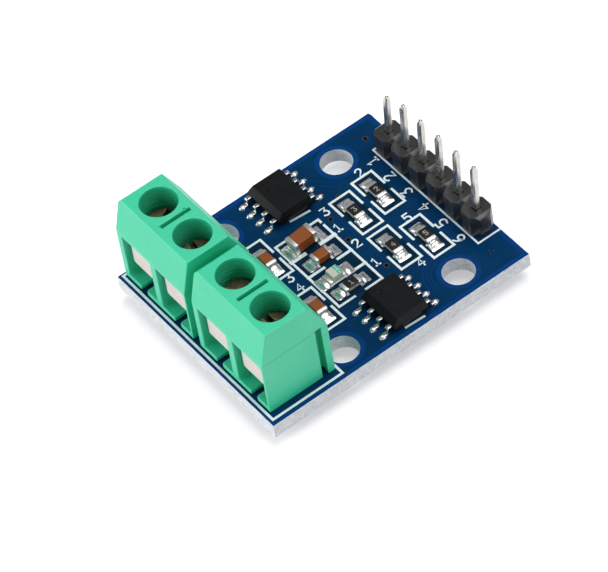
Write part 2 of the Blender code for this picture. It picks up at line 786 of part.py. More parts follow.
def make_header_pin(index, material):
    """A square pin with a tapered point at each end. Above the body it leans a little."""
    body_top = HEADER_BODY_HEIGHT + PIN_CLEARANCE
    rise = PIN_RISE if index else PIN_RISE - FIRST_PIN_SHORTFALL
    tail = -BOARD_THICKNESS - PIN_END_BELOW_BOARD
    wide, narrow = PIN_WIDTH / 2, PIN_TIP / 2
    levels = (
        (tail, narrow, 0.0),
        (tail + PIN_TAPER, wide, 0.0),
        (body_top, wide, 0.0),
        (body_top + rise - PIN_TAPER, wide, 1.0 - PIN_TAPER / rise),
        (body_top + rise, narrow, 1.0),
    )
    shape = bmesh.new()
    rings = []
    for height, half, share in levels:
        x, y = PIN_LEAN_SIDE * share, PIN_LEAN_BACK * share
        corners = ((-half, -half), (half, -half), (half, half), (-half, half))
        rings.append([shape.verts.new((a, b, height)) for a, b in moved(corners, (x, y))])
    bridge_rings(shape, rings)
    origin = place(pin_place(index), HEADER_ROW)
    return add_object(f"header_pin_{index + 1}", shape, material, origin)


# Driver chips
def lead_offsets():
    first = -(LEADS_PER_SIDE - 1) / 2
    return [(first + i) * LEAD_PITCH for i in range(LEADS_PER_SIDE)]


def lead_level():
    """The height of the leads' underside where they leave the chip."""
    return (CHIP_STANDOFF + CHIP_HEIGHT) / 2


def make_chip(index, material):
    """A moulded body that tapers to its top and underside, with a bevel along its pin 1 side."""
    origin = place(chip_centre(index), CHIP_ROW)
    middle_low = lead_level()
    middle_high = middle_low + LEAD_THICKNESS
    levels = (
        (CHIP_STANDOFF, CHIP_DRAFT),
        (middle_low, 0.0),
        (middle_high, 0.0),
        (CHIP_HEIGHT, CHIP_DRAFT),
    )
    shape = bmesh.new()
    rings = []
    for height, inset in levels:
        a, b = CHIP_LENGTH / 2 - inset, CHIP_WIDTH / 2 - inset
        rings.append([shape.verts.new((x, y, height)) for x, y in ((-a, -b), (a, -b), (a, b), (-a, b))])
    bridge_rings(shape, rings)
    bmesh.ops.bisect_plane(
        shape,
        geom=shape.verts[:] + shape.edges[:] + shape.faces[:],
        plane_co=(0.0, -CHIP_WIDTH / 2 + CHIP_DRAFT + CHIP_BEVEL, CHIP_HEIGHT),
        plane_no=(0.0, -1.0, 1.0),
        clear_outer=True,
    )
    bmesh.ops.holes_fill(shape, edges=shape.edges, sides=8)
    chip = add_object(f"driver_chip_{index + 1}", shape, material, origin)
    dimple = bmesh.new()
    inset = CHIP_DRAFT + CHIP_BEVEL + 2 * CHIP_DIMPLE_RADIUS
    centre = (inset - CHIP_LENGTH / 2, inset - CHIP_WIDTH / 2)
    outline = circle(CHIP_DIMPLE_RADIUS, centre, 16)
    add_prism(dimple, outline, "Z", CHIP_HEIGHT - CHIP_DIMPLE_DEPTH, CHIP_HEIGHT + CHIP_BEVEL)
    dimple_tool = add_cutter(f"chip_dimple_{index + 1}", dimple)
    dimple_tool.location = origin
    combine(chip, dimple_tool, "DIFFERENCE")
    return chip


def lead_profile():
    """A gull-wing lead's side view as (distance, height) points, outwards from the body."""
    start = CHIP_WIDTH / 2 + SOLDER_GAP
    end = LEAD_SPAN / 2 - SOLDER_GAP
    shoulder = start + LEAD_SHOULDER
    heel = end - LEAD_FOOT
    low = CHIP_PART_LIFT
    high = lead_level() + LEAD_THICKNESS
    ease = LEAD_THICKNESS / 2
    return [
        (start, lead_level()),
        (shoulder - ease, lead_level()),
        (shoulder, lead_level() - ease),
        (heel - ease, low + ease),
        (heel, low),
        (end, low),
        (end, low + LEAD_THICKNESS),
        (heel + ease, low + LEAD_THICKNESS),
        (heel, low + LEAD_THICKNESS + ease),
        (shoulder + 2 * ease, high - ease),
        (shoulder + ease, high),
        (start, high),
    ]


def make_leads(chip, material):
    """Eight leads, numbered like a chip's pins: along the front, then back along the rear."""
    number = 0
    for turn, offsets in ((180, lead_offsets()), (0, list(reversed(lead_offsets())))):
        for offset in offsets:
            number += 1
            shape = bmesh.new()
            verts = add_prism(shape, lead_profile(), "X", -LEAD_WIDTH / 2, LEAD_WIDTH / 2)
            bmesh.ops.rotate(shape, verts=verts, matrix=Matrix.Rotation(radians(turn), 3, "Z"))
            origin = place(chip_centre(chip) + offset, CHIP_ROW)
            add_object(f"chip_{chip + 1}_lead_{number}", shape, material, origin)


# Small parts
def add_capped_block(mesh_maker, size, lift):
    """A block along X whose metal ends stand a little proud of its middle."""
    length, width, height = size
    ends = length / 2
    inner = ends - END_CAP_LENGTH
    stations = (
        (-ends, END_CAP_SWELL),
        (-inner, END_CAP_SWELL),
        (-inner, 0.0),
        (inner, 0.0),
        (inner, END_CAP_SWELL),
        (ends, END_CAP_SWELL),
    )
    rings = []
    for x, swell in stations:
        half = width / 2 - END_CAP_SWELL + swell
        low = lift + END_CAP_SWELL - swell
        high = lift + height - END_CAP_SWELL + swell
        corners = ((half, low), (half, high), (-half, high), (-half, low))
        rings.append([mesh_maker.verts.new((x, y, z)) for y, z in corners])
    bridge_rings(mesh_maker, rings)


def make_small_part(name, spot, turn, size, material, tilt=0.0):
    shape = bmesh.new()
    add_capped_block(shape, size, CHIP_PART_LIFT)
    made = add_object(name, shape, material, place(*spot))
    made.rotation_euler = (0.0, radians(-tilt), radians(turn))
    if tilt:
        made.location.z += sin(radians(abs(tilt))) * size[0] / 2
    return made


def make_led(material):
    """A flat base with metal ends and a clear lens that tapers upwards."""
    shape = bmesh.new()
    add_capped_block(shape, LED_BASE, CHIP_PART_LIFT)
    led = add_object("led_1", shape, material, place(*LED_PLACE))
    led.rotation_euler = (0.0, 0.0, radians(90))
    lens = bmesh.new()
    width = LED_WIDTH / 2 - END_CAP_SWELL
    low = CHIP_PART_LIFT + LED_BASE_HEIGHT / 2
    high = CHIP_PART_LIFT + LED_BASE_HEIGHT + LED_LENS_HEIGHT
    rings = []
    for height, inset in ((low, 0.0), (high, LED_LENS_TAPER)):
        a = LED_LENS_LENGTH / 2 - inset
        corners = ((-a, -width), (a, -width), (a, width), (-a, width))
        rings.append([lens.verts.new((x, y, height)) for x, y in corners])
    bridge_rings(lens, rings)
    lens_tool = add_cutter("led_lens", lens)
    lens_tool.location = led.location
    lens_tool.rotation_euler = led.rotation_euler
    combine(led, lens_tool, "UNION")


def make_small_parts(resistor, capacitor, led):
    for number, (x, y, turn) in enumerate(RESISTORS, 1):
        make_small_part(f"resistor_{number}", (x, y), turn, RESISTOR, resistor)
    for number, (x, y, turn, size) in enumerate(CAPACITORS, 1):
        tilt = LARGE_CAPACITOR_TILT if size == LARGE_CAPACITOR else 0.0
        make_small_part(f"capacitor_{number}", (x, y), turn, size, capacitor, tilt)
    make_led(led)


# Solder joints under the board
def make_joint(name, x, y, hole_radius, material):
    """A cone of solder round a pin, with the concave side that wetting gives it."""
    inner = hole_radius + JOINT_WALL / 4
    foot = inner + JOINT_WALL + JOINT_SPREAD
    profile = [(inner, -JOINT_WALL / 4)]
    steps = 4
    for step in range(steps + 1):
        share = step / steps
        radius = inner + JOINT_WALL + (foot - inner - JOINT_WALL) * (1 - share) ** 2
        profile.append((radius, -JOINT_WALL / 4 - share * JOINT_HEIGHT))
    profile.append((inner, -JOINT_WALL / 4 - JOINT_HEIGHT))
    shape = bmesh.new()
    add_turned_ring(shape, profile, 14, (0.0, 0.0))
    origin = place(x, y, -BOARD_THICKNESS)
    add_object(name, shape, material, origin, smooth_above=50)


def make_joints(solder):
    for index in range(4):
        name = f"terminal_solder_{index + 1}"
        make_joint(name, terminal_centre(index), BORE_LINE, terminal_hole_radius(), solder)
    for index in range(HEADER_PINS):
        name = f"header_solder_{index + 1}"
        make_joint(name, pin_place(index), HEADER_ROW, header_hole_radius(), solder)


def main():
    clear_scene()
    board = make_material("solder_mask", (0.004, 0.045, 0.20), 0.35)
    green = make_material("terminal_plastic", (0.07, 0.60, 0.40), 0.45)
    black = make_material("header_plastic", (0.012, 0.012, 0.012), 0.5)
    resin = make_material("chip_resin", (0.018, 0.018, 0.02), 0.45)
    tin = make_material("tinned_metal", (0.72, 0.71, 0.69), 0.3, 1.0)
    steel = make_material("plated_steel", (0.75, 0.70, 0.68), 0.35, 1.0)
    brassy = make_material("screw_metal", (0.45, 0.36, 0.22), 0.4, 1.0)
    solder = make_material("solder", (0.78, 0.78, 0.78), 0.2, 1.0)
    ceramic = make_material("capacitor_ceramic", (0.45, 0.17, 0.05), 0.5)
    coat = make_material("resistor_coat", (0.02, 0.018, 0.016), 0.4)
    lens = make_material("led_lens", (0.75, 0.80, 0.72), 0.25)
    make_board(board)
    make_terminals(green, tin, steel, brassy)
    make_header(black, tin)
    for chip in range(2):
        make_chip(chip, resin)
        make_leads(chip, tin)
    make_small_parts(coat, ceramic, lens)
    make_joints(solder)


main()
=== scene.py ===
"""DC motor driver module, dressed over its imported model.

The module is a small blue circuit board with two green screw terminal blocks along one edge, a
black six-way pin header along the other, and two driver chips with their small parts between
them. Every piece is made in board millimetres: x from the board's middle line, y from its front
edge and z above its top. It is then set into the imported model's frame, in metres.
"""

from math import cos, pi, radians, sin, sqrt

import bmesh
import bpy
from mathutils import Matrix, Vector, noise


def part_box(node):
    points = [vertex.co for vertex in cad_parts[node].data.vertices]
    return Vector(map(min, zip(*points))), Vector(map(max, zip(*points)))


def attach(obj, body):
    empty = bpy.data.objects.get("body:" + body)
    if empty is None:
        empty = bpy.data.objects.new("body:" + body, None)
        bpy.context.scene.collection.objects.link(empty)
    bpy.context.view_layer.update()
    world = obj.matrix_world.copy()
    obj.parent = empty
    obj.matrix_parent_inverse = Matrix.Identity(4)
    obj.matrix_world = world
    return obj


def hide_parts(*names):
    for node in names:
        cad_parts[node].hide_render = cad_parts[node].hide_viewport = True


bl_info = {
    "name": "Motor Driver Board",
    "version": (1, 0, 0),
    "blender": (4, 5, 0),
    "location": "3D View > Sidebar > Driver Board",
    "description": "Dresses a DC motor driver module with its board, terminals, header and chips",
    "category": "Add Mesh",
}

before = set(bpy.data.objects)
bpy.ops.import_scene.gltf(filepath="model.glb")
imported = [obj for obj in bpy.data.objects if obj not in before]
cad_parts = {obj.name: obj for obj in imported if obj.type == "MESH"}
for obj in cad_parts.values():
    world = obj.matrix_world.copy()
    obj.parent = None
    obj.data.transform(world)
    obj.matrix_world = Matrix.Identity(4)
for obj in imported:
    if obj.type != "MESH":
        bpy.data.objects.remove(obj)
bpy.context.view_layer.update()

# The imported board. Every piece is placed from the middle of its top's front edge.
BOARD_LOW, BOARD_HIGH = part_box("pcb")
LAMINATE = 1.6
FRONT_MIDDLE = Vector(((BOARD_LOW.x + BOARD_HIGH.x) / 2, BOARD_LOW.y, BOARD_LOW.z + LAMINATE / 1000))
TO_FRAME = Matrix.Translation(FRONT_MIDDLE) @ Matrix.Scale(0.001, 4)
TO_BOARD = TO_FRAME.inverted()
BOARD_WIDTH = (BOARD_HIGH.x - BOARD_LOW.x) * 1000
BOARD_DEPTH = (BOARD_HIGH.y - BOARD_LOW.y) * 1000


def board_box(node):
    """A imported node's lowest and highest corners in board millimetres."""
    low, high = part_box(node)
    return TO_BOARD @ low, TO_BOARD @ high


def board_middle(node):
    low, high = board_box(node)
    return (low + high) / 2


# Sizes and colours that a user may change


def length(name, description, default):
    return bpy.props.FloatProperty(
        name=name, description=description, default=default, unit="LENGTH", min=0.0, precision=5
    )


def colour(name, description, default):
    return bpy.props.FloatVectorProperty(
        name=name, description=description, default=default, subtype="COLOR", size=3, min=0.0, max=1.0
    )


def factor(name, description, default):
    return bpy.props.FloatProperty(
        name=name, description=description, default=default, subtype="FACTOR", min=0.0, max=1.0
    )


def power(name, description, default):
    return bpy.props.FloatProperty(name=name, description=description, default=default, unit="POWER", min=0.0)


class BoardSettings(bpy.types.PropertyGroup):
    mask: colour("Mask over copper", "Solder mask where it lies on the copper pour", (0.0006, 0.031, 0.096))
    mask_bare: colour("Mask over laminate", "Solder mask with no copper below", (0.0014, 0.052, 0.215))
    # The mask in the windows is darker than the pour's mask: painted shade of the small parts round their
    # pads.
    window_mask_painted_shade: colour("Mask in windows", "Solder mask round the small parts' pads", (0.0015, 0.019, 0.048))
    laminate: colour("Laminate", "Cut glass fibre at the edges and in the holes", (0.84, 0.87, 0.91))
    ink: colour("Legend ink", "Printed lines and numbers", (0.88, 0.98, 1.0))
    ink_width: length("Legend line width", "Width of a printed line", 0.00024)
    pour_inset: length("Pour inset", "Bare strip between the copper pour and the board's edge", 0.00055)
    pour_height: length("Pour height", "How far the pour lifts the mask", 0.00002)


class TerminalSettings(bpy.types.PropertyGroup):
    plastic: colour("Housing", "Moulded housing of the terminal blocks", (0.020, 0.63, 0.35))
    leaf: colour("Clamp leaf", "Plated leaf behind each wire entry", (0.76, 0.69, 0.65))
    screw: colour("Screw", "Passivated terminal screw", (0.050, 0.037, 0.021))
    edge: length("Moulded edge", "Rounding of the housing's edges", 0.0001)
    thread_pitch: length("Thread pitch", "Rise of the terminal screw in one turn", 0.00045)
    thread_depth: length("Thread depth", "Depth of the terminal screw's thread", 0.00016)


class HeaderSettings(bpy.types.PropertyGroup):
    plastic: colour("Strip", "Moulded strip of the header", (0.0130, 0.0133, 0.0142))
    pin: colour("Pins", "Tinned square pins", (0.70, 0.68, 0.65))
    edge: length("Moulded edge", "Rounding of the strip's edges", 0.00003)
    pin_edge: length("Pin edge", "Chamfer of a pin's long edges", 0.00011)


class ChipSettings(bpy.types.PropertyGroup):
    resin: colour("Resin", "Moulded body of the driver chips", (0.0050, 0.0055, 0.0065))
    lead: colour("Leads", "Tinned gull-wing leads", (0.66, 0.65, 0.63))
    edge: length("Resin edge", "Rounding of the moulded body's edges", 0.00004)


class SmallPartSettings(bpy.types.PropertyGroup):
    glaze: colour("Resistor glaze", "Dark coat on a resistor's top", (0.0085, 0.0080, 0.0075))
    alumina: colour("Resistor base", "Ceramic under the resistor's coat", (0.66, 0.64, 0.60))
    ceramic: colour("Capacitor ceramic", "Body of the chip capacitors", (0.33, 0.082, 0.012))
    end_metal: colour("End caps", "Plated ends of the small parts", (0.82, 0.81, 0.79))
    lens: colour("Indicator lens", "Clear resin over the indicator's chip", (0.80, 0.80, 0.73))
    stripe: colour("Indicator stripes", "Green marks at the indicator's cathode", (0.03, 0.60, 0.42))


class SolderSettings(bpy.types.PropertyGroup):
    metal: colour("Solder", "Bright solder on lands and joints", (0.86, 0.86, 0.87))
    ripple: length("Ripple", "Unevenness of the solder's skin", 0.000018)


class StageSettings(bpy.types.PropertyGroup):
    sky: factor("Sky", "Level of the soft light from above", 0.22)
    horizon: factor("Horizon", "Level of the soft light from the sides", 0.55)
    front: power("Front light", "Power of the low panel at the front left", 3.0)
    top: power("Top light", "Power of the panel overhead", 2.3)
    side: power("Side light", "Power of the small panel at the right", 0.6)
    lens: bpy.props.FloatProperty(
        name="Lens", description="Focal length of the camera in millimetres", default=281.54, min=1.0
    )
    roll: bpy.props.FloatProperty(
        name="Roll", description="Roll of the camera", default=radians(-10.5195), subtype="ANGLE"
    )


SETTINGS = {
    "driver_board": BoardSettings,
    "driver_terminals": TerminalSettings,
    "driver_header": HeaderSettings,
    "driver_chips": ChipSettings,
    "driver_small_parts": SmallPartSettings,
    "driver_solder": SolderSettings,
    "driver_stage": StageSettings,
}


def mm(value):
    """Metres to board millimetres."""
    return value * 1000


# Mesh tools


def bridge_rings(shape, rings, part=0, close_ends=True):
    """Joins rings of as many points each, and closes the first and the last."""
    count = len(rings[0])
    made = []
    for lower, upper in zip(rings, rings[1:]):
        for i in range(count):
            j = (i + 1) % count
            made.append(shape.faces.new((lower[i], lower[j], upper[j], upper[i])))
    if close_ends:
        made.append(shape.faces.new(list(reversed(rings[0]))))
        made.append(shape.faces.new(rings[-1]))
    for face in made:
        face.material_index = part
    return [vert for ring in rings for vert in ring]


# Where a 2D outline's points lie in space: (y, z) along X, (x, z) along Y and (x, y) along Z
AXES = {"X": lambda a, b, c: (c, a, b), "Y": lambda a, b, c: (a, c, b), "Z": lambda a, b, c: (a, b, c)}


def add_stack(shape, levels, axis="Z", part=0):
    """Joins 2D outlines of as many points each, given as (level, outline) along an axis."""
    rings = [[shape.verts.new(AXES[axis](a, b, level)) for a, b in outline] for level, outline in levels]
    return bridge_rings(shape, rings, part)


def add_prism(shape, outline, axis, low, high, part=0):
    """Extrudes a closed 2D outline between two levels of an axis."""
    return add_stack(shape, ((low, outline), (high, outline)), axis, part)


def rectangle(low, high):
    return [(low[0], low[1]), (high[0], low[1]), (high[0], high[1]), (low[0], high[1])]


def square(x, y, half):
    return rectangle((x - half, y - half), (x + half, y + half))


def add_box(shape, low, high, part=0):
    return add_prism(shape, rectangle(low, high), "Z", low[2], high[2], part)


def shape_of(make, *values):
    """A new shape that holds what one of these tools makes."""
    shape = bmesh.new()
    make(shape, *values)
    return shape


def arc(centre, radius, start, end, steps=14):
    """Points along an arc between two angles in degrees."""
    turns = [radians(start + (end - start) * i / steps) for i in range(steps + 1)]
    return [(centre[0] + radius * cos(t), centre[1] + radius * sin(t)) for t in turns]


def circle(radius, centre, sides):
    return arc(centre, radius, 0, 360, sides)[:-1]


def rounded_rectangle(low, high, radius, steps=3):
    """Corner points of a rectangle with round corners, as (x, y)."""
    corners = ((high[0], high[1], 0), (low[0], high[1], 90), (low[0], low[1], 180), (high[0], low[1], 270))
    points = []
    for x, y, start in corners:
        cx = x - radius if x == high[0] else x + radius
        cy = y - radius if y == high[1] else y + radius
        points += arc((cx, cy), radius, start, start + 90, steps)
    return points


def rounded_about(x, y, half_x, half_y, radius, steps=3):
    """A rectangle with round corners about a middle point."""
    return rounded_rectangle((x - half_x, y - half_y), (x + half_x, y + half_y), radius, steps)


def add_cushion(shape, levels, middle, halves, radius, axis="Z", part=0, steps=3):
    """Stacks rectangles with round corners about one middle, each given as (level, inset)."""
    (x, y), (a, b) = middle, halves
    outlines = [(level, rounded_about(x, y, a - inset, b - inset, radius, steps)) for level, inset in levels]
    return add_stack(shape, outlines, axis, part)


def add_turned(shape, profile, sides, centre, part=0):
    """Turns (radius, height) points about a vertical axis and closes both ends."""
    rings = [(height, circle(radius, centre, sides)) for radius, height in profile]
    return add_stack(shape, rings, "Z", part)


def add_turned_ring(shape, profile, sides, centre, part=0):
    """Turns a closed (radius, height) outline about a vertical axis, which makes a ring."""
    rings = []
    for turn in range(sides):
        angle = 2 * pi * turn / sides
        spots = [(centre[0] + r * cos(angle), centre[1] + r * sin(angle), z) for r, z in profile]
        rings.append([shape.verts.new(spot) for spot in spots])
    return bridge_rings(shape, rings + rings[:1], part, close_ends=False)


def add_ribbon(shape, path, width, low, high, part=0):
    """A flat strip of even width along an (x, y) path, with mitred corners. A path that ends
    where it starts is closed."""
    closed = path[0] == path[-1]
    points = [Vector(point) for point in (path[:-1] if closed else path)]
    count = len(points)
    left, right = [], []
    for i, point in enumerate(points):
        arms = []
        if closed or i:
            arms.append((point - points[i - 1]).normalized())
        if closed or i < count - 1:
            arms.append((points[(i + 1) % count] - point).normalized())
        normals = [Vector((-arm.y, arm.x)) for arm in arms]
        side = sum(normals, Vector((0.0, 0.0))) / len(normals)
        side *= min(1.0 / max(side.length_squared, 0.16), 2.5)
        end = Vector((0.0, 0.0))
        if len(arms) == 1:
            end = arms[0] * (width / 2 if i else -width / 2)
        left.append(point + end + side * width / 2)
        right.append(point + end - side * width / 2)
    rings = []
    for a, b in zip(left, right):
        corners = ((b.x, b.y, low), (a.x, a.y, low), (a.x, a.y, high), (b.x, b.y, high))
        rings.append([shape.verts.new(corner) for corner in corners])
    if closed:
        return bridge_rings(shape, rings + rings[:1], part, close_ends=False)
    return bridge_rings(shape, rings, part)


def add_plate(shape, loops, low, high, part=0, walls=None):
    """A flat plate between two heights. The first loop is its outline and each further loop
    inside another turns solid into hole and hole into solid."""
    flat = bmesh.new()
    for loop in loops:
        verts = [flat.verts.new((x, y, low)) for x, y in loop]
        for i, vert in enumerate(verts):
            flat.edges.new((vert, verts[(i + 1) % len(verts)]))
    bmesh.ops.triangle_fill(
        flat, use_beauty=True, use_dissolve=False, edges=flat.edges[:], normal=(0.0, 0.0, 1.0)
    )
    for face in flat.faces:
        face.material_index = part
    solid = bmesh.ops.extrude_face_region(flat, geom=flat.faces[:], use_keep_orig=True)
    raised = [item for item in solid["geom"] if isinstance(item, bmesh.types.BMVert)]
    bmesh.ops.translate(flat, verts=raised, vec=(0.0, 0.0, high - low))
    bmesh.ops.recalc_face_normals(flat, faces=flat.faces)
    if walls is not None:
        for face in flat.faces:
            if abs(face.normal.z) < 0.5:
                face.material_index = walls(face.calc_center_median())
    holder = bpy.data.meshes.new("plate")
    flat.to_mesh(holder)
    flat.free()
    shape.from_mesh(holder)
    bpy.data.meshes.remove(holder)


def turn_and_place(shape, verts, turn=0.0, spot=(0.0, 0.0, 0.0), tilt=0.0):
    """Tilts new verts about Y, turns them about Z and moves them to their place, in that order."""
    turned = Matrix.Rotation(radians(turn), 4, "Z") @ Matrix.Rotation(radians(tilt), 4, "Y")
    bmesh.ops.transform(shape, matrix=Matrix.Translation(Vector(spot)) @ turned, verts=verts)


def settle(piece):
    """Keeps what the piece's modifiers make of its mesh, and drops the modifiers."""
    depsgraph = bpy.context.evaluated_depsgraph_get()
    made = bpy.data.meshes.new_from_object(piece.evaluated_get(depsgraph), depsgraph=depsgraph)
    piece.modifiers.clear()
    old = piece.data
    piece.data = made
    bpy.data.meshes.remove(old)


def carve(piece, cutter, finishes, operation="DIFFERENCE", solver="EXACT"):
    """Cuts one shape out of a piece, or joins it on."""
    tool = raw_object("carving_tool", cutter, finishes)
    modifier = piece.modifiers.new("carve", "BOOLEAN")
    modifier.operation = operation
    modifier.solver = solver
    modifier.object = tool
    settle(piece)
    old = tool.data
    bpy.data.objects.remove(tool)
    bpy.data.meshes.remove(old)


def merge_flats(piece, angle):
    """Makes one face of every flat area that cutting has left in bits."""
    clean = bmesh.new()
    clean.from_mesh(piece.data)
    bmesh.ops.remove_doubles(clean, verts=clean.verts, dist=0.0005)
    bmesh.ops.dissolve_limit(
        clean, angle_limit=radians(angle), verts=clean.verts, edges=clean.edges, delimit={"MATERIAL"}
    )
    clean.to_mesh(piece.data)
    clean.free()


def keep_flats_crisp(piece, large=1.2e-6, slight=radians(8)):
    """Marks the edge between two large flat faces as sharp, however slight its angle, and follows
    it round the rounded corners at its ends."""
    shape = bmesh.new()
    shape.from_mesh(piece.data)
    ends = []
    for edge in shape.edges:
        if len(edge.link_faces) == 2 and min(face.calc_area() for face in edge.link_faces) > large:
            if edge.calc_face_angle() > slight:
                edge.smooth = False
                ends += [(edge, vert) for vert in edge.verts]
    while ends:
        edge, vert = ends.pop()
        onward = (vert.co - edge.other_vert(vert).co).normalized()
        for nearby in vert.link_edges:
            if nearby.smooth and len(nearby.link_faces) == 2 and nearby.calc_face_angle() > slight / 2:
                if onward.dot((nearby.other_vert(vert).co - vert.co).normalized()) > 0.6:
                    nearby.smooth = False
                    ends.append((nearby, nearby.other_vert(vert)))
    shape.to_mesh(piece.data)
    shape.free()


def raw_object(name, shape, finishes):
    bmesh.ops.recalc_face_normals(shape, faces=shape.faces)
    mesh = bpy.data.meshes.new(name)
    shape.to_mesh(mesh)
    shape.free()
    for finish in finishes:
        mesh.materials.append(finish)
    made = bpy.data.objects.new(name, mesh)
    bpy.context.scene.collection.objects.link(made)
    return made


def add_piece(name, shape, finishes, body, nodes, cuts=(), joins=(), marks=(),
              bevel=0.0, rounds=2, sharp=35, smooth=40):
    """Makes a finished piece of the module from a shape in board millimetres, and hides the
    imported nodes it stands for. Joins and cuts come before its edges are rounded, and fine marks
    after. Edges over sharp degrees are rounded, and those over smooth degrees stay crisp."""
    old = bpy.data.objects.get(name)
    if old:
        bpy.data.objects.remove(old)
    piece = raw_object(name, shape, finishes)
    for join in joins:
        carve(piece, join, finishes, "UNION")
    for cut in cuts:
        carve(piece, cut, finishes)
    if cuts or joins:
        merge_flats(piece, 1.0)
    if bevel:
        modifier = piece.modifiers.new("edges", "BEVEL")
        modifier.width = bevel
        modifier.segments = rounds
        modifier.limit_method = "ANGLE"
        modifier.angle_limit = radians(sharp)
        modifier.use_clamp_overlap = False
        settle(piece)
    for mark in marks:
        carve(piece, mark, finishes, solver="MANIFOLD")
    if marks:
        merge_flats(piece, 0.3)
    piece.data.transform(TO_FRAME)
    piece.data.shade_smooth()
    piece.data.set_sharp_from_angle(angle=radians(smooth))
    keep_flats_crisp(piece)
    even = piece.modifiers.new("even shading", "WEIGHTED_NORMAL")
    even.keep_sharp = True
    settle(piece)
    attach(piece, body)
    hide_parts(*nodes)
    return piece


# Node groups for effects that several finishes share


def start_group(name, inputs, outputs):
    """A new node group with named sockets, or None and the group if it is there already."""
    tree = bpy.data.node_groups.get(name)
    if tree:
        return tree, None, None
    tree = bpy.data.node_groups.new(name, "ShaderNodeTree")
    for label, kind, default in inputs:
        socket = tree.interface.new_socket(name=label, in_out="INPUT", socket_type=kind)
        socket.default_value = default
    for label, kind in outputs:
        tree.interface.new_socket(name=label, in_out="OUTPUT", socket_type=kind)
    return tree, tree.nodes.new("NodeGroupInput"), tree.nodes.new("NodeGroupOutput")


def feed(tree, node, inputs):
    """Sets a node's sockets, each to a constant or from another node's socket."""
    for label, value in dict(inputs).items():
        if isinstance(value, bpy.types.NodeSocket):
            tree.links.new(value, node.inputs[label])
        else:
            node.inputs[label].default_value = value


def add_node(tree, kind, inputs=(), **settings):
    """A new node, with its own settings made before its sockets are fed."""
    node = tree.nodes.new("ShaderNode" + kind)
    for name, value in settings.items():
        setattr(node, name, value)
    feed(tree, node, inputs)
    return node


def maths(tree, operation, *values, **settings):
    """The outcome of one sum on sockets and constants."""
    return add_node(tree, "Math", enumerate(values), operation=operation, **settings).outputs[0]


def map_range(tree, value, start, end, low=0.0, high=1.0, **settings):
    """A value's place between start and end, as one between low and high."""
    limits = {"From Min": start, "From Max": end, "To Min": low, "To Max": high}
    return add_node(tree, "MapRange", {"Value": value, **limits}, **settings).outputs["Result"]


def mix_colours(tree, share, one, other):
    return add_node(tree, "Mix", {"Factor": share, "A": one, "B": other}, data_type="RGBA").outputs["Result"]


def relief(tree, level, depth, **others):
    """The normals of a relief of a depth in millimetres."""
    inputs = {"Strength": 1.0, "Distance": depth / 1000, "Height": level, **others}
    return add_node(tree, "Bump", inputs).outputs["Normal"]


def noise_level(tree, place, size, detail, roughness=0.5):
    inputs = {"Vector": place, "Scale": size, "Detail": detail, "Roughness": roughness}
    return add_node(tree, "TexNoise", inputs).outputs["Fac"]


def board_coordinates(tree, stretch=(1.0, 1.0, 1.0)):
    """Object coordinates in millimetres, stretched along each axis."""
    place = add_node(tree, "TexCoord").outputs["Object"]
    scaled = add_node(tree, "VectorMath", {0: place, "Scale": 1000.0}, operation="SCALE").outputs[0]
    return add_node(tree, "VectorMath", {0: scaled, 1: stretch}, operation="MULTIPLY").outputs[0]


def grain_group():
    """A fine skin of bumps, as a height to feed a Bump node."""
    tree, entry, end = start_group(
        "surface_grain",
        (("Size", "NodeSocketFloat", 4.0), ("Stretch", "NodeSocketVector", (1.0, 1.0, 1.0))),
        (("Height", "NodeSocketFloat"),),
    )
    if entry:
        place = board_coordinates(tree, entry.outputs["Stretch"])
        feed(tree, end, {"Height": noise_level(tree, place, entry.outputs["Size"], 4.0, 0.6)})
    return tree


def tone_group():
    """A slow, cloudy change between two colours, with a roughness that follows it."""
    tree, entry, end = start_group(
        "cloudy_tone",
        (
            ("Colour", "NodeSocketColor", (0.5, 0.5, 0.5, 1.0)),
            ("Other Colour", "NodeSocketColor", (0.5, 0.5, 0.5, 1.0)),
            ("Size", "NodeSocketFloat", 1.0),
            ("Cover", "NodeSocketFloat", 0.5),
            ("Roughness", "NodeSocketFloat", 0.4),
            ("Spread", "NodeSocketFloat", 0.1),
        ),
        (("Colour", "NodeSocketColor"), ("Roughness", "NodeSocketFloat")),
    )
    if entry:
        given = entry.outputs
        clouds = noise_level(tree, board_coordinates(tree), given["Size"], 5.0, 0.65)
        window = map_range(tree, clouds, 0.32, 0.68)
        cover = maths(tree, "MULTIPLY", window, given["Cover"])
        feed(tree, end, {
            "Colour": mix_colours(tree, cover, given["Colour"], given["Other Colour"]),
            "Roughness": maths(tree, "MULTIPLY_ADD", window, given["Spread"], given["Roughness"]),
        })
    return tree


def wear_and_highlight_group():
    """A mask of a piece's outward edges, broken up, for a lighter colour that is partly wear from handling
    and partly a painted highlight where the edges catch the light.
    """
    tree, entry, end = start_group(
        "edge_wear_and_highlight",
        (("Amount", "NodeSocketFloat", 0.5), ("Size", "NodeSocketFloat", 3.0)),
        (("Mask", "NodeSocketFloat"),),
    )
    if entry:
        ridge = map_range(tree, add_node(tree, "NewGeometry").outputs["Pointiness"], 0.51, 0.60)
        breaks = noise_level(tree, board_coordinates(tree), entry.outputs["Size"], 3.0)
        broken = maths(tree, "MULTIPLY", ridge, breaks)
        feed(tree, end, {"Mask": maths(tree, "MULTIPLY", broken, entry.outputs["Amount"], use_clamp=True)})
    return tree


def rgba(values):
    return (*values, 1.0)


def shade(values, share):
    """A colour made darker, or lighter where share is over 1."""
    return tuple(min(v * share, 1.0) for v in values)


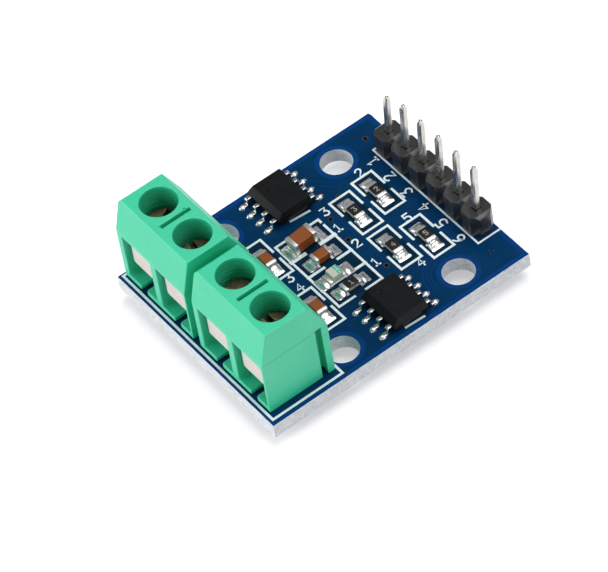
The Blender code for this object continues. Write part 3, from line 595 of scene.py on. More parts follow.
def make_finish(name, base, roughness, metallic=0.0, specular=0.5, fade=0.82, other=None,
                cloud=(1.0, 0.5, 0.08), grain=(8.0, 0.004), stretch=(1.0, 1.0, 1.0), wear_and_highlight=None, coat=0.0):
    """A finish of the module: cloudy colour and roughness, a grain, and lighter edges that are partly wear
    and partly a painted highlight.

    fade is the clouds' share of the base colour, unless other is given as their colour; cloud is
    their size, cover and spread of roughness; grain is its size and its height in millimetres,
    and stretch draws it out; the edge option gives the colour and amount of the edges' wear and painted
    highlight."""
    old = bpy.data.materials.get(name)
    if old:
        return old
    finish = bpy.data.materials.new(name)
    finish.use_nodes = True
    finish.diffuse_color = rgba(base)
    tree = finish.node_tree
    size, cover, spread = cloud
    tone = add_node(tree, "Group", {
        "Colour": rgba(base), "Other Colour": rgba(other or shade(base, fade)),
        "Size": size, "Cover": cover, "Roughness": roughness, "Spread": spread,
    }, node_tree=tone_group())
    paint = tone.outputs["Colour"]
    # Lighter edges: partly wear, partly a painted highlight.
    if wear_and_highlight:
        wear_highlight_colour, amount = wear_and_highlight
        mask = add_node(tree, "Group", {"Amount": amount, "Size": 3.0}, node_tree=wear_and_highlight_group())
        paint = mix_colours(tree, mask.outputs["Mask"], paint, rgba(wear_highlight_colour))
    size, height = grain
    skin = add_node(tree, "Group", {"Size": size, "Stretch": stretch}, node_tree=grain_group())
    feed(tree, tree.nodes["Principled BSDF"], {
        "Base Color": paint, "Roughness": tone.outputs["Roughness"],
        "Normal": relief(tree, skin.outputs["Height"], height),
        "Metallic": metallic, "Specular IOR Level": specular, "Coat Weight": coat, "Coat Roughness": 0.12,
    })
    return finish


def laminate_finish(base):
    """Cut glass fibre: pale layers along the board, with grey flecks and bright fibre ends."""
    if bpy.data.materials.get("cut_laminate"):
        return bpy.data.materials["cut_laminate"]
    finish = make_finish(
        "cut_laminate", base, 0.62, specular=0.25, other=(0.70, 0.73, 0.77), cloud=(1.1, 0.9, 0.1),
        grain=(4.0, 0.012), stretch=(1.0, 1.0, 3.5),
    )
    tree = finish.node_tree
    shader = tree.nodes["Principled BSDF"]
    flecks = noise_level(tree, board_coordinates(tree, (1.0, 1.0, 4.5)), 2.6, 6.0, 0.7)
    dark = map_range(tree, flecks, 0.50, 0.70, 0.0, 0.75)
    paint = shader.inputs["Base Color"].links[0].from_socket
    feed(tree, shader, {"Base Color": mix_colours(tree, dark, paint, (0.22, 0.24, 0.28, 1.0))})
    return finish


def mask_finish(name, base, fade):
    """Glossy solder mask, with the laminate's weave showing through as a slight relief."""
    if bpy.data.materials.get(name):
        return bpy.data.materials[name]
    finish = make_finish(
        name, base, 0.20, specular=0.07, fade=fade, cloud=(0.35, 0.7, 0.10), grain=(1.6, 0.004)
    )
    tree = finish.node_tree
    shader = tree.nodes["Principled BSDF"]
    skin = shader.inputs["Normal"].links[0].from_socket
    weave = add_node(tree, "TexWave", {
        "Vector": board_coordinates(tree), "Scale": 0.85, "Distortion": 1.2, "Detail": 1.0,
    })
    feed(tree, shader, {"Normal": relief(tree, weave.outputs["Fac"], 0.0015, Normal=skin)})
    return finish


def solder_finish(settings):
    return make_finish(
        "bright_solder", settings.metal, 0.20, metallic=1.0, fade=0.8, cloud=(1.6, 0.6, 0.12),
        grain=(0.8, 0.022),
    )


def end_metal_finish(settings):
    return make_finish(
        "end_cap_metal", settings.end_metal, 0.28, metallic=1.0, fade=0.75, cloud=(2.0, 0.6, 0.15),
        grain=(2.0, 0.008),
    )


# Board

# Pitches of the pins and leads, and how far a terminal is from its block's middle
HEADER_PITCH, CHIP_PITCH, TERMINAL_SIDE = 2.54, 1.27, 2.54

# Radii of mounting holes, of the bare rings round them, of vias and of the terminals' pads
HOLE_RADIUS, BARE_RADIUS, VIA_RADIUS, PAD_RADIUS = 1.55, 2.05, 0.17, 1.62

# The board's finishes, in their order on its pieces
# The windows' finish is a darker mask, painted shade of the small parts.
OVER_LAMINATE, CUT_EDGE, OVER_COPPER, WINDOW_PAINTED_SHADE, PLATED = range(5)

# Where pins and vias come through the board
HEADER_PINS = tuple(-6.7 + number * HEADER_PITCH for number in range(6))
TERMINAL_PINS, TERMINAL_LINE = (-8.22, -3.14, 3.14, 8.22), 4.0
VIA_SPOTS = ((-9.38, 26.57), (-5.46, 20.47), (-3.81, 18.28), (-0.79, 17.96), (3.97, 18.62))

# Printed boxes round small parts, as the middle of each, and the long one between the chips,
# which printed lines divide
BOXES = ((-3.40, 23.42), (-2.85, 20.45), (2.80, 20.45), (3.76, 23.42), (-3.78, 10.95), (3.84, 10.95))
BOX_HALF = (2.48, 1.14)
LADDER_STEPS = (-4.55, -2.12, 0.36, 2.42, 4.90)
LADDER_FRONT, LADDER_BACK = 12.55, 17.41


def board_outline():
    """The board's outline with the nib that its back left corner keeps, and the slight waver
    that breaking it from its panel leaves along each side."""
    half, back = BOARD_WIDTH / 2, BOARD_DEPTH
    corners = [(-half, 0.0), (half, 0.0), (half, back), (0.4 - half, back), (-half, back - 0.1)]
    points = []
    for start, end in zip(corners, corners[1:] + corners[:1]):
        span = Vector(end) - Vector(start)
        steps = max(1, int(span.length / 0.6))
        inward = Vector((-span.y, span.x)).normalized()
        for step in range(steps):
            point = Vector(start) + span * step / steps
            waver = 0.0
            if step:
                waver = 0.018 * (1 + noise.noise(Vector((point.x * 1.7, point.y * 1.7, 3.0))))
            points.append(tuple(point + inward * waver))
    return points


def mounting_holes():
    side = BOARD_WIDTH / 2 - 2.74
    return [(x, y) for x in (-side, side) for y in (9.8, BOARD_DEPTH - 5.9)]


def part_windows():
    """Loops of the copper-free windows in the pour, one in each printed box."""
    ladder = rounded_rectangle((LADDER_STEPS[0], LADDER_FRONT), (LADDER_STEPS[-1], LADDER_BACK), 0.1, 2)
    return [rounded_about(*spot, *BOX_HALF, 0.1, 2) for spot in BOXES] + [ladder]


def channel(path, width=0.13):
    """The outline of a thin gap in the pour along a path, as one closed loop."""
    points = [Vector(point) for point in path]
    left, right = [], []
    for before, point, after in zip(points[:1] + points, points, points[1:] + points[-1:]):
        along = (after - before).normalized()
        side = Vector((-along.y, along.x)) * width / 2
        left.append(tuple(point + side))
        right.append(tuple(point - side))
    return left + right[::-1]


def top_channels():
    """Gaps in the top pour on each side of the traces that run under the mask."""
    paths = [
        [(-9.9, 18.9), (-8.6, 20.0), (-6.3, 21.9)],
        [(-8.7, 19.1), (-7.6, 20.1), (-6.2, 21.3)],
        [(-9.5, 13.0), (-9.5, 11.9), (-7.2, 11.5)],
        [(6.9, 12.9), (6.9, 12.2), (7.5, 11.9)],
        [(-5.1, 17.9), (-4.4, 18.8), (-1.4, 18.9)],
        [(1.1, 18.0), (2.4, 18.9), (3.3, 18.9)],
    ]
    for radius in (2.45, 2.85, 3.25):
        paths.append(arc(mounting_holes()[3], radius, 196 - radius * 4, 262 + radius * 2))
    return [channel(path) for path in paths]


def under_channels():
    """Gaps beside the traces on the underside, from the pins towards the chips."""
    paths = []
    for x in HEADER_PINS:
        turn = (3.8 if x > 0 else -3.8) - x
        for offset in (-0.42, 0.42):
            paths.append([(x + offset, 25.9), (x + offset, 24.6), (x + turn * 0.34 + offset, 22.0)])
    for x in TERMINAL_PINS:
        for offset in (-0.55, 0.55):
            paths.append([(x + offset, 6.1), (x + offset, 9.2 if abs(x) < 5 else 7.4)])
    return [channel(path) for path in paths]


def wall_finish(spot):
    """Which finish a wall of the board takes: cut laminate, or plated copper in a via."""
    in_via = any((spot.xy - Vector(via)).length < 2 * VIA_RADIUS for via in VIA_SPOTS)
    return PLATED if in_via else CUT_EDGE


class DRIVERBOARD_OT_board(bpy.types.Operator):
    """Make the laminate with its holes, and the copper pours under the mask on both sides"""

    bl_idname = "driverboard.board"
    bl_label = "Circuit Board"

    def execute(self, context):
        settings = context.scene.driver_board
        finishes = (
            mask_finish("mask_over_laminate", settings.mask_bare, 0.7),
            laminate_finish(settings.laminate),
            mask_finish("mask_over_copper", settings.mask, 1.35),
            # Darker mask for the windows: painted shade of the small parts.
            mask_finish("mask_in_windows_painted_shade", settings.window_mask_painted_shade, 1.6),
            make_finish(
                "via_plating", (0.006, 0.010, 0.016), 0.3, specular=0.4, other=(0.05, 0.06, 0.07),
                cloud=(4.0, 0.6, 0.1),
            ),
        )
        inset, height = mm(settings.pour_inset), mm(settings.pour_height)
        half, back = BOARD_WIDTH / 2 - inset, BOARD_DEPTH - inset
        whole = rounded_rectangle((-half, inset), (half, back), 0.3)
        round_header = [
            (-half, inset), (half, inset), (half, back), (7.4, back), (7.4, 26.3), (-8.1, 26.3), (-8.1, back),
            (-half, back),
        ]
        vias = [circle(VIA_RADIUS, spot, 16) for spot in VIA_SPOTS]
        holes = [circle(HOLE_RADIUS, spot, 72) for spot in mounting_holes()] + vias
        bare = [circle(BARE_RADIUS, spot, 64) for spot in mounting_holes()] + vias
        pads = [circle(PAD_RADIUS, (x, TERMINAL_LINE), 40) for x in TERMINAL_PINS]
        under = -LAMINATE - height
        plate = shape_of(add_plate, [board_outline()] + holes, -LAMINATE, 0.0, OVER_LAMINATE, wall_finish)
        add_piece(
            "board_laminate", plate, finishes, "module", ["pcb"], bevel=0.015, rounds=1,
            sharp=60,
        )
        for name, loops, low, high in (
            ("board_top_pour", [whole] + part_windows() + top_channels() + bare, 0.0, height),
            ("board_under_pour", [round_header] + under_channels() + bare + pads, under, -LAMINATE),
        ):
            plate = shape_of(add_plate, loops, low, high, OVER_COPPER)
            add_piece(name, plate, finishes, "module", ["pcb"], smooth=30)
        details = bmesh.new()
        # Darker mask plates in the windows: painted shade round the small parts.
        for loop in part_windows():
            add_plate(details, [loop], 0.0, 0.004, WINDOW_PAINTED_SHADE)
        ring = ((VIA_RADIUS, 0.0), (0.34, 0.0), (0.31, height + 0.012), (VIA_RADIUS, height + 0.006))
        for spot in VIA_SPOTS:
            add_turned_ring(details, ring, 24, spot, PLATED)
        for spot in ((8.95, 26.45), (9.22, 26.72), (9.30, 26.30)):
            add_turned(details, ((0.09, 0.0), (0.08, height + 0.004)), 12, spot, PLATED)
        add_piece("board_windows", details, finishes, "module", ["pcb"])
        return {"FINISHED"}


# Printed legend

# Pen strokes of the numbers, on a grid 0.6 wide and 1 high
NUMBER_STROKES = {
    1: [[(0.12, 0.8), (0.32, 1.0), (0.32, 0.0)], [(0.1, 0.0), (0.54, 0.0)]],
    2: [[(0.0, 0.8), (0.12, 0.95), (0.3, 1.0), (0.5, 0.94), (0.58, 0.76), (0.5, 0.54), (0.0, 0.0),
         (0.6, 0.0)]],
    3: [[(0.0, 1.0), (0.56, 1.0), (0.28, 0.62), (0.5, 0.52), (0.6, 0.3), (0.5, 0.08), (0.28, 0.0),
         (0.0, 0.14)]],
    4: [[(0.44, 0.0), (0.44, 1.0), (0.0, 0.32), (0.62, 0.32)]],
    5: [[(0.56, 1.0), (0.06, 1.0), (0.03, 0.58), (0.3, 0.64), (0.54, 0.52), (0.6, 0.3), (0.5, 0.08),
         (0.28, 0.0), (0.0, 0.12)]],
    6: [[(0.5, 1.0), (0.22, 0.82), (0.03, 0.48), (0.0, 0.24), (0.12, 0.05), (0.3, 0.0), (0.5, 0.07),
         (0.6, 0.28), (0.5, 0.5), (0.3, 0.57), (0.1, 0.48), (0.03, 0.34)]],
}

# Where each plain number is printed: the number, x, y, its height and its turn in degrees
NUMBERS = tuple((i, x, 25.32, 1.05, 180) for i, x in enumerate(HEADER_PINS, 1)) + tuple(
    (number, x, y, 0.95, 90) for number, x, y in (
        (2, -6.45, 23.62), (3, -4.86, 18.45), (4, 5.80, 21.05), (5, 0.82, 23.45), (1, -2.60, 18.12),
        (2, 0.05, 18.24), (3, -0.80, 11.30), (4, 0.66, 11.30), (1, 2.95, 18.12),
    )
)


def add_number(shape, number, height, pen, low, high, part=0):
    """A plain number drawn with a flat pen, centred at the origin."""
    verts = []
    for stroke in NUMBER_STROKES[number]:
        path = [((a - 0.3) * height, (b - 0.5) * height) for a, b in stroke]
        verts += add_ribbon(shape, path, pen, low, high, part)
    return verts


def legend_paths():
    """Every printed line, as its (x, y) points and its share of the full width."""
    back = BOARD_DEPTH - 0.12
    lines = [
        ([(-7.76, 26.5), (-7.76, 26.24), (7.62, 26.24), (7.62, back)], 0.8),
        ([(-11.38, 0.43), (11.09, 0.43), (11.09, 8.14), (-11.38, 8.14), (-11.38, 0.43)], 1.0),
        ([(-6.11, 15.49), (-5.94, 17.46)], 1.0),
        ([(10.84, 15.46), (10.94, 17.40)], 1.0),
    ]
    for x, y in BOXES:
        low, high = y - BOX_HALF[1], y + BOX_HALF[1]
        for side in (-1, 1):
            near, far = x + side * 0.55, x + side * BOX_HALF[0]
            lines.append(([(near, high), (far, high), (far, low), (near, low)], 1.0))
    first, second, third, fourth, last = LADDER_STEPS
    front, back = LADDER_FRONT, LADDER_BACK
    return lines + [
        ([(first + 0.9, back), (last, back), (last, 15.6)], 1.0),
        ([(last, 14.3), (last, front), (first, front), (first, 14.2)], 1.0),
        ([(first, 16.4), (first, back), (first + 0.4, back)], 1.0),
        ([(second, back), (second, 15.9)], 1.7),
        ([(second, 14.0), (second, front)], 1.7),
        ([(third, back), (third, 15.9)], 1.2),
        ([(third, 14.3), (third, front)], 1.2),
        ([(fourth, back), (fourth, front)], 1.2),
    ]


class DRIVERBOARD_OT_legend(bpy.types.Operator):
    """Print the white lines round the parts and plain numbers at the pins and parts"""

    bl_idname = "driverboard.legend"
    bl_label = "Printed Legend"

    def execute(self, context):
        settings = context.scene.driver_board
        ink = make_finish(
            "legend_ink", settings.ink, 0.55, specular=0.3, fade=0.8, cloud=(2.4, 0.6, 0.1),
            grain=(9.0, 0.006),
        )
        width, top = mm(settings.ink_width), mm(settings.pour_height) + 0.015
        shape = bmesh.new()
        for order, (path, share) in enumerate(legend_paths()):
            add_ribbon(shape, path, width * share, 0.0, top + 0.0004 * order)
        for number, x, y, height, turn in NUMBERS:
            verts = add_number(shape, number, height, 0.17, 0.0, top + 0.002)
            turn_and_place(shape, verts, turn, (x, y, 0.0))
        add_piece("board_legend", shape, (ink,), "module", ["pcb"], smooth=30)
        return {"FINISHED"}


# Solder on top of the board


def two_ended_parts():
    """(node, turn, length, width, height) of every part with two ends."""
    parts = [(f"resistor_{i}", 90 if i == 1 else 0, 2.0, 1.05, 0.5) for i in range(1, 6)]
    parts.append(("capacitor_1", 91, 2.6, 1.5, 1.25))
    parts += [(f"capacitor_{i}", 91 if i == 2 else 0, 1.9, 1.1, 0.8) for i in range(2, 5)]
    return parts + [("led_1", 90, 2.0, 1.25, 0.3)]


def add_land(shape, spot, turn, face, reach, half, climb, seed, ripple):
    """A tinned land with its fillet of solder. The solder starts under the part, climbs its end
    face at the distance face, and falls in a hollow curve to the land's end at reach. Its skin
    is uneven, as hand-placed paste leaves it."""
    columns, rows = 18, 12
    start = face - 0.28
    grid = []
    for i in range(columns + 1):
        along = start + (reach - start) * i / columns
        line = []
        for j in range(rows + 1):
            across = 2 * j / rows - 1
            level = 0.05
            if along > face:
                share = (along - face) / (reach - face)
                belly = 0.16 * sin(pi * min(share * 1.15, 1.0)) ** 2
                level += (climb - 0.05) * (1 - share) ** 2.2 + belly
            edge = (1 - abs(across) ** 2.6) ** 0.7 if abs(across) < 1 else 0.0
            end = min(1.0, (reach - along) / 0.16)
            rim = 0.035 + 0.015 * end
            skin = noise.noise(Vector((along * 2.3 + seed * 7.1, across * 1.9, seed * 3.3)))
            skin += 0.5 * noise.noise(Vector((along * 5.1, across * 4.3 + seed, seed * 1.7)))
            level = rim + max(level - rim, 0.0) * edge * sqrt(max(end, 0.0)) + ripple * skin * edge * end
            bulge = 1.0 + 0.05 * noise.noise(Vector((along * 1.6, seed, across)))
            pinch = 1.0 - 0.10 * max(0.0, (along - reach + 0.22) / 0.22) ** 2
            line.append(shape.verts.new((along, across * half * bulge * pinch, level)))
        grid.append(line)
    rim_verts = [line[0] for line in grid] + grid[-1][1:]
    rim_verts += [line[-1] for line in reversed(grid[:-1])] + list(reversed(grid[0][1:-1]))
    base = [shape.verts.new((vert.co.x, vert.co.y, -0.01)) for vert in rim_verts]
    for near, far in zip(grid, grid[1:]):
        for j in range(rows):
            shape.faces.new((near[j], far[j], far[j + 1], near[j + 1]))
    count = len(rim_verts)
    for i in range(count):
        j = (i + 1) % count
        shape.faces.new((base[i], base[j], rim_verts[j], rim_verts[i]))
    shape.faces.new(list(reversed(base)))
    verts = [vert for line in grid for vert in line] + base
    turn_and_place(shape, verts, turn, (spot[0], spot[1], 0.0))


def add_bead(shape, spot, turn, away, radii, seed, ripple):
    """A round bead of solder at a lead's foot, centred at a distance away from the chip's
    middle line and sunk a little into the board's mask."""
    sides, steps, sunk = 24, 8, 0.01
    levels = []
    for step in range(steps):
        rise = 0.5 * pi * step / steps
        ring = []
        for i in range(sides):
            around = 2 * pi * i / sides
            push = Vector((cos(around) * cos(rise), sin(around) * cos(rise), sin(rise)))
            wave = 1.0 + 2.2 * ripple * noise.noise(push * 1.6 + Vector((seed * 3.1, seed, 0.0)))
            x = away + radii[0] * push.x * wave
            y = radii[1] * push.y * wave * (1.0 - 0.12 * push.x)
            ring.append(shape.verts.new((x, y, (radii[2] + sunk) * push.z * wave - sunk)))
        levels.append(ring)
    wave = 1.0 + 2.2 * ripple * noise.noise(Vector((seed * 3.1, seed, 1.6)))
    top = (radii[2] + sunk) * wave - sunk
    levels.append([shape.verts.new((x, y, top)) for x, y in circle(0.02, (away, 0.0), sides)])
    turn_and_place(shape, bridge_rings(shape, levels), turn, (spot[0], spot[1], 0.0))


def lead_spots(chip):
    """(x, y) of each lead's line across the chip, with y at the chip's middle."""
    middle = board_middle(f"driver_chip_{chip}")
    return [(middle.x + (i - 1.5) * CHIP_PITCH, middle.y) for i in range(4)]


class DRIVERBOARD_OT_lands(bpy.types.Operator):
    """Make the tinned lands on top of the board with the solder that holds each part"""

    bl_idname = "driverboard.lands"
    bl_label = "Lands and Solder"

    def execute(self, context):
        settings = context.scene.driver_solder
        ripple = mm(settings.ripple)
        shape = bmesh.new()
        seed = 1.0
        for node, turn, long, wide, high in two_ended_parts():
            climb = max(0.32, min(0.78 * high, 0.62))
            spot, face, half = board_middle(node), long / 2 - 0.02, wide / 2 + 0.15
            for flip in (0, 180):
                seed += 1.37
                reach = long / 2 + 0.88 + 0.06 * sin(seed * 2.1)
                add_land(shape, spot, turn + flip, face, reach, half, climb, seed, ripple)
        for chip in (1, 2):
            for spot in lead_spots(chip):
                for flip in (-90, 90):
                    seed += 1.37
                    add_bead(shape, spot, flip, 2.98 + 0.05 * sin(seed), (0.42, 0.31, 0.30), seed, ripple)
        add_piece("top_solder", shape, (solder_finish(settings),), "module", ["pcb"], smooth=50)
        return {"FINISHED"}


# Screw terminal blocks, in board millimetres

BLOCK_FRONT, BLOCK_BACK = 0.7, 7.9
BLOCK_SHOULDER, BLOCK_TOP, BLOCK_UNDER = 6.4, 9.85, 0.12
BLOCK_HALF, BLOCK_PANEL = 4.97, 0.42
BORE_RADIUS = 1.78
ENTRY_HALF, ENTRY_TOP, ENTRY_FLOOR, ENTRY_BACK = 2.1, 5.9, 0.62, 6.3

# Degrees that each screw's slot is turned
SCREW_TURNS = (120, -10, 66, 2)


def block_middle(block):
    """The x halfway between a block's two bores. Its end panel is on the left."""
    low, high = board_box(f"terminal_housing_{block}")
    return (low.x + BLOCK_PANEL + high.x) / 2


def add_dovetail(shape, edge, low, overlap, grow=0.0, deeper=0.0):
    """The dovetail that joins blocks side by side, out to the left from a face."""
    middle, mouth, root = BLOCK_BACK - 1.05, 0.25 + grow, 0.35 + grow
    depth = 0.45 + grow + deeper
    outline = (
        (edge + overlap, middle - mouth), (edge, middle - mouth), (edge - depth, middle - root),
        (edge - depth, middle + root), (edge, middle + mouth), (edge + overlap, middle + mouth),
    )
    add_prism(shape, outline, "Z", low, BLOCK_SHOULDER)


def housing_cuts(middle):
    """Everything that the mould leaves open in one housing."""
    cuts = []
    for x in (middle - TERMINAL_SIDE, middle + TERMINAL_SIDE):
        entry = rounded_rectangle((x - ENTRY_HALF, ENTRY_FLOOR), (x + ENTRY_HALF, ENTRY_TOP), 0.12)
        left, right, bend = x - 0.37, x + 0.37, 0.3
        notch = [(left, 4.9), (left, 0.0), (right + bend, 0.0), (right + bend, BLOCK_FRONT)]
        for turn in (22, 45, 68, 90):
            a = radians(turn)
            notch.append((right + bend * (1 - sin(a)), BLOCK_FRONT + bend * (1 - cos(a))))
        notch.append((right, 4.9))
        bore = circle(BORE_RADIUS, (x, TERMINAL_LINE), 64)
        cuts += [
            shape_of(add_prism, entry, "Y", BLOCK_FRONT - 1.0, ENTRY_BACK),
            shape_of(add_prism, notch, "Z", BLOCK_UNDER - 0.5, ENTRY_FLOOR + 0.4),
            shape_of(add_prism, bore, "Z", ENTRY_TOP - 0.45, BLOCK_TOP + 1.0),
        ]
    slot = rounded_about(middle, TERMINAL_LINE, 0.2, 1.65, 0.08)
    cuts.append(shape_of(add_prism, slot, "Z", BLOCK_TOP - 2.2, BLOCK_TOP + 1.0))
    cuts.append(shape_of(add_dovetail, middle + BLOCK_HALF, BLOCK_UNDER - 0.5, 0.5, 0.06, 0.5))
    return cuts


def housing_marks(block, middle):
    """The fine marks on one housing: the step on its right end, the line where its two halves
    part, the rings that the mould's cores leave in its bores, and the photograph's nicks."""
    right = middle + BLOCK_HALF
    under, back, ledge = BLOCK_UNDER - 0.5, BLOCK_BACK + 1.0, BLOCK_SHOULDER - 0.05
    step = shape_of(add_box, (right - 0.05, -1.0, under), (right + 0.5, back, ledge))
    parting, rings, nicks = bmesh.new(), bmesh.new(), bmesh.new()
    for x in (middle - BLOCK_HALF - BLOCK_PANEL, right - 0.05):
        add_box(parting, (x - 0.035, BLOCK_FRONT - 1.0, BLOCK_SHOULDER - 0.14), (x + 0.035, back, ledge))
    for x in (middle - TERMINAL_SIDE, middle + TERMINAL_SIDE):
        level = ENTRY_TOP + 0.5
        while level < BLOCK_TOP - 0.5:
            inner = BORE_RADIUS - 0.1
            profile = ((inner, level - 0.03), (BORE_RADIUS + 0.015, level), (inner, level + 0.2))
            add_turned_ring(rings, profile, 64, (x, TERMINAL_LINE))
            level += 0.55
    if block == 1:
        low = (middle - 0.36, TERMINAL_LINE + 1.0, BLOCK_TOP - 0.1)
        add_box(nicks, low, (middle - 0.14, TERMINAL_LINE + 1.3, BLOCK_TOP + 0.3))
    else:
        for turn in (158, 176, 190, 207):
            spot = arc((middle + TERMINAL_SIDE, TERMINAL_LINE), 1.8, turn, turn, 1)[0]
            wide = 0.07 + 0.0003 * (turn - 150)
            add_turned(nicks, ((0.02, BLOCK_TOP - 0.12), (wide, BLOCK_TOP + 0.2)), 8, spot)
    return step, parting, rings, nicks


class DRIVERBOARD_OT_housings(bpy.types.Operator):
    """Mould the two green terminal housings with their entries, bores, slots and dovetails"""

    bl_idname = "driverboard.housings"
    bl_label = "Terminal Housings"

    def execute(self, context):
        settings = context.scene.driver_terminals
        plastic = make_finish(
            "housing_plastic", settings.plastic, 0.42, specular=1.0, fade=0.93, cloud=(0.35, 0.6, 0.10),
            grain=(9.0, 0.0009),
        )
        outline = (
            (BLOCK_FRONT, BLOCK_UNDER), (BLOCK_BACK, BLOCK_UNDER), (BLOCK_BACK, BLOCK_SHOULDER),
            (BLOCK_BACK - 1.75, BLOCK_TOP), (BLOCK_FRONT + 0.9, BLOCK_TOP), (BLOCK_FRONT, BLOCK_SHOULDER),
        )
        for block in (1, 2):
            middle = block_middle(block)
            left = middle - BLOCK_HALF - BLOCK_PANEL
            shape = shape_of(add_prism, outline, "X", left, middle + BLOCK_HALF)
            bmesh.ops.bisect_plane(
                shape, geom=shape.verts[:] + shape.edges[:] + shape.faces[:],
                plane_co=(left + BLOCK_PANEL, 0.0, BLOCK_TOP), plane_no=(-1.0, 0.0, 1.0), clear_outer=True,
            )
            bmesh.ops.holes_fill(shape, edges=shape.edges, sides=8)
            add_piece(
                f"housing_{block}", shape, (plastic,), "module", [f"terminal_housing_{block}"],
                joins=(shape_of(add_dovetail, left, BLOCK_UNDER, 0.2),),
                cuts=housing_cuts(middle), marks=housing_marks(block, middle),
                bevel=mm(settings.edge), rounds=3, sharp=42, smooth=35,
            )
        return {"FINISHED"}


def terminal_spot(index):
    """The x of a terminal's axis, for terminals 1 to 4."""
    low, high = board_box(f"terminal_contact_{index}")
    return (low.x + high.x) / 2


def add_threaded_shank(shape, x, low, high, radius, pitch, depth):
    """A threaded shank: rings whose radius follows the thread as it climbs, closed at both ends."""
    sides, rows = 36, int((high - low) / pitch * 8)
    rings = []
    for row in range(rows + 1):
        z = low + (high - low) * row / rows
        ease = max(min(1.0, (z - low) / 0.35, (high - z) / 0.2), 0.0)
        ring = []
        for i in range(sides):
            angle = 2 * pi * i / sides
            tooth = 1.0 - abs(2 * ((z / pitch - i / sides) % 1.0) - 1.0)
            r = radius - depth * (1 - tooth * ease)
            ring.append(shape.verts.new((x + r * cos(angle), TERMINAL_LINE + r * sin(angle), z)))
        rings.append(ring)
    bridge_rings(shape, rings)


class DRIVERBOARD_OT_terminal_metal(bpy.types.Operator):
    """Make each terminal's contact, its clamp leaf and its threaded screw"""

    bl_idname = "driverboard.terminal_metal"
    bl_label = "Terminal Metal"

    def execute(self, context):
        settings = context.scene.driver_terminals
        tin = make_finish(
            "contact_tin", (0.62, 0.60, 0.57), 0.34, metallic=1.0, cloud=(1.2, 0.7, 0.12), grain=(6.0, 0.006),
            stretch=(0.3, 3.0, 1.0),
        )
        plated = make_finish(
            "leaf_plating", settings.leaf, 0.45, metallic=0.35, fade=0.86, cloud=(0.9, 0.8, 0.14),
            grain=(5.0, 0.002), stretch=(3.0, 1.0, 0.4),
        )
        # The screws' lighter edges are partly wear and partly a painted highlight, glints on the slot and
        # rim.
        brassy = make_finish(
            "screw_passivated", settings.screw, 0.3, metallic=1.0, other=(0.085, 0.038, 0.020),
            cloud=(1.5, 0.95, 0.15), grain=(4.0, 0.008), wear_and_highlight=((0.34, 0.27, 0.17), 1.2),
        )
        for index in range(1, 5):
            self.make_contact(index, tin)
            self.make_leaf(index, plated)
            self.make_screw(index, brassy, settings)
        return {"FINISHED"}

    def make_screw(self, index, finish, settings):
        """A slotted screw: its threaded shank, its head and the cut of its slot."""
        low, high = board_box(f"terminal_screw_{index}")
        x, top = terminal_spot(index), high.z
        pitch, depth = mm(settings.thread_pitch), mm(settings.thread_depth)
        shank = shape_of(add_threaded_shank, x, low.z, top - 0.9, 1.25, pitch, depth)
        profile = (
            (1.5, top - 0.95), (1.6, top - 0.86), (1.6, top - 0.16), (1.55, top - 0.06), (1.44, top),
            (0.5, top),
        )
        slot = bmesh.new()
        verts = add_box(slot, (-2.4, -0.29, top - 0.6), (2.4, 0.29, top + 0.5))
        turn_and_place(slot, verts, SCREW_TURNS[index - 1], (x, TERMINAL_LINE, 0.0))
        add_piece(
            f"screw_{index}", shank, (finish,), f"screw_{index}", [f"terminal_screw_{index}"],
            joins=(shape_of(add_turned, profile, 48, (x, TERMINAL_LINE)),), cuts=(slot,), smooth=38,
        )

    def make_contact(self, index, finish):
        """A folded strip with a threaded plate at its top and a pin through the board."""
        low, high = board_box(f"terminal_contact_{index}")
        x, front, back, top, foot = terminal_spot(index), BLOCK_FRONT + 1.05, high.y, high.z, 1.08
        strip = (
            (front, top - 0.06), (front, top - 0.9), (back - 0.75, top - 0.9), (back - 0.5, top - 0.98),
            (back - 0.4, top - 1.2), (back - 0.4, foot + 0.3), (back - 0.5, foot + 0.08),
            (back - 0.75, foot), (2.3, foot), (2.3, foot - 0.4), (back - 0.3, foot - 0.4),
            (back - 0.09, foot - 0.31), (back, foot - 0.1), (back, top - 0.3), (back - 0.09, top - 0.09),
            (back - 0.3, top), (front + 0.06, top),
        )
        tail = -LAMINATE - 1.4
        pin = [
            (z, rectangle((x - a, TERMINAL_LINE - b), (x + a, TERMINAL_LINE + b)))
            for z, a, b in ((tail, 0.2, 0.32), (tail + 0.35, 0.3, 0.45), (1.0, 0.3, 0.45))
        ]
        thread = []
        z = top - 1.2
        while z < top + 0.3:
            thread += [(1.27, z), (1.36, z + 0.11), (1.27, z + 0.22)]
            z += 0.225
        add_piece(
            f"contact_{index}", shape_of(add_prism, strip, "X", low.x, high.x), (finish,), "module",
            [f"terminal_contact_{index}"], joins=(shape_of(add_stack, pin),),
            cuts=(shape_of(add_turned, thread, 40, (x, TERMINAL_LINE)),), smooth=35,
        )

    def make_leaf(self, index, finish):
        """A sheet bent up at the front, with its lower corners cut off."""
        low, high = board_box(f"clamp_leaf_{index}")
        front, back, under, top = low.y, high.y, low.z, high.z
        bend, sheet = 0.5, 0.35
        centre = (front + bend, under + bend)
        outline = [(front, top)] + arc(centre, bend, 180, 270, 6) + [(back, under), (back, under + sheet)]
        outline += arc(centre, bend - sheet, 270, 180, 6) + [(front + sheet, top)]
        corners = bmesh.new()
        for side, edge in ((-0.5, low.x), (0.5, high.x)):
            diamond = ((edge, under + 0.5), (edge - side, under), (edge, under - 0.5), (edge + side, under))
            add_prism(corners, diamond, "Y", front - 0.35, front + bend)
        add_piece(
            f"leaf_{index}", shape_of(add_prism, outline, "X", low.x, high.x), (finish,), f"clamp_{index}",
            [f"clamp_leaf_{index}"], cuts=(corners,), bevel=0.04, sharp=50, smooth=35,
        )


# Pin header


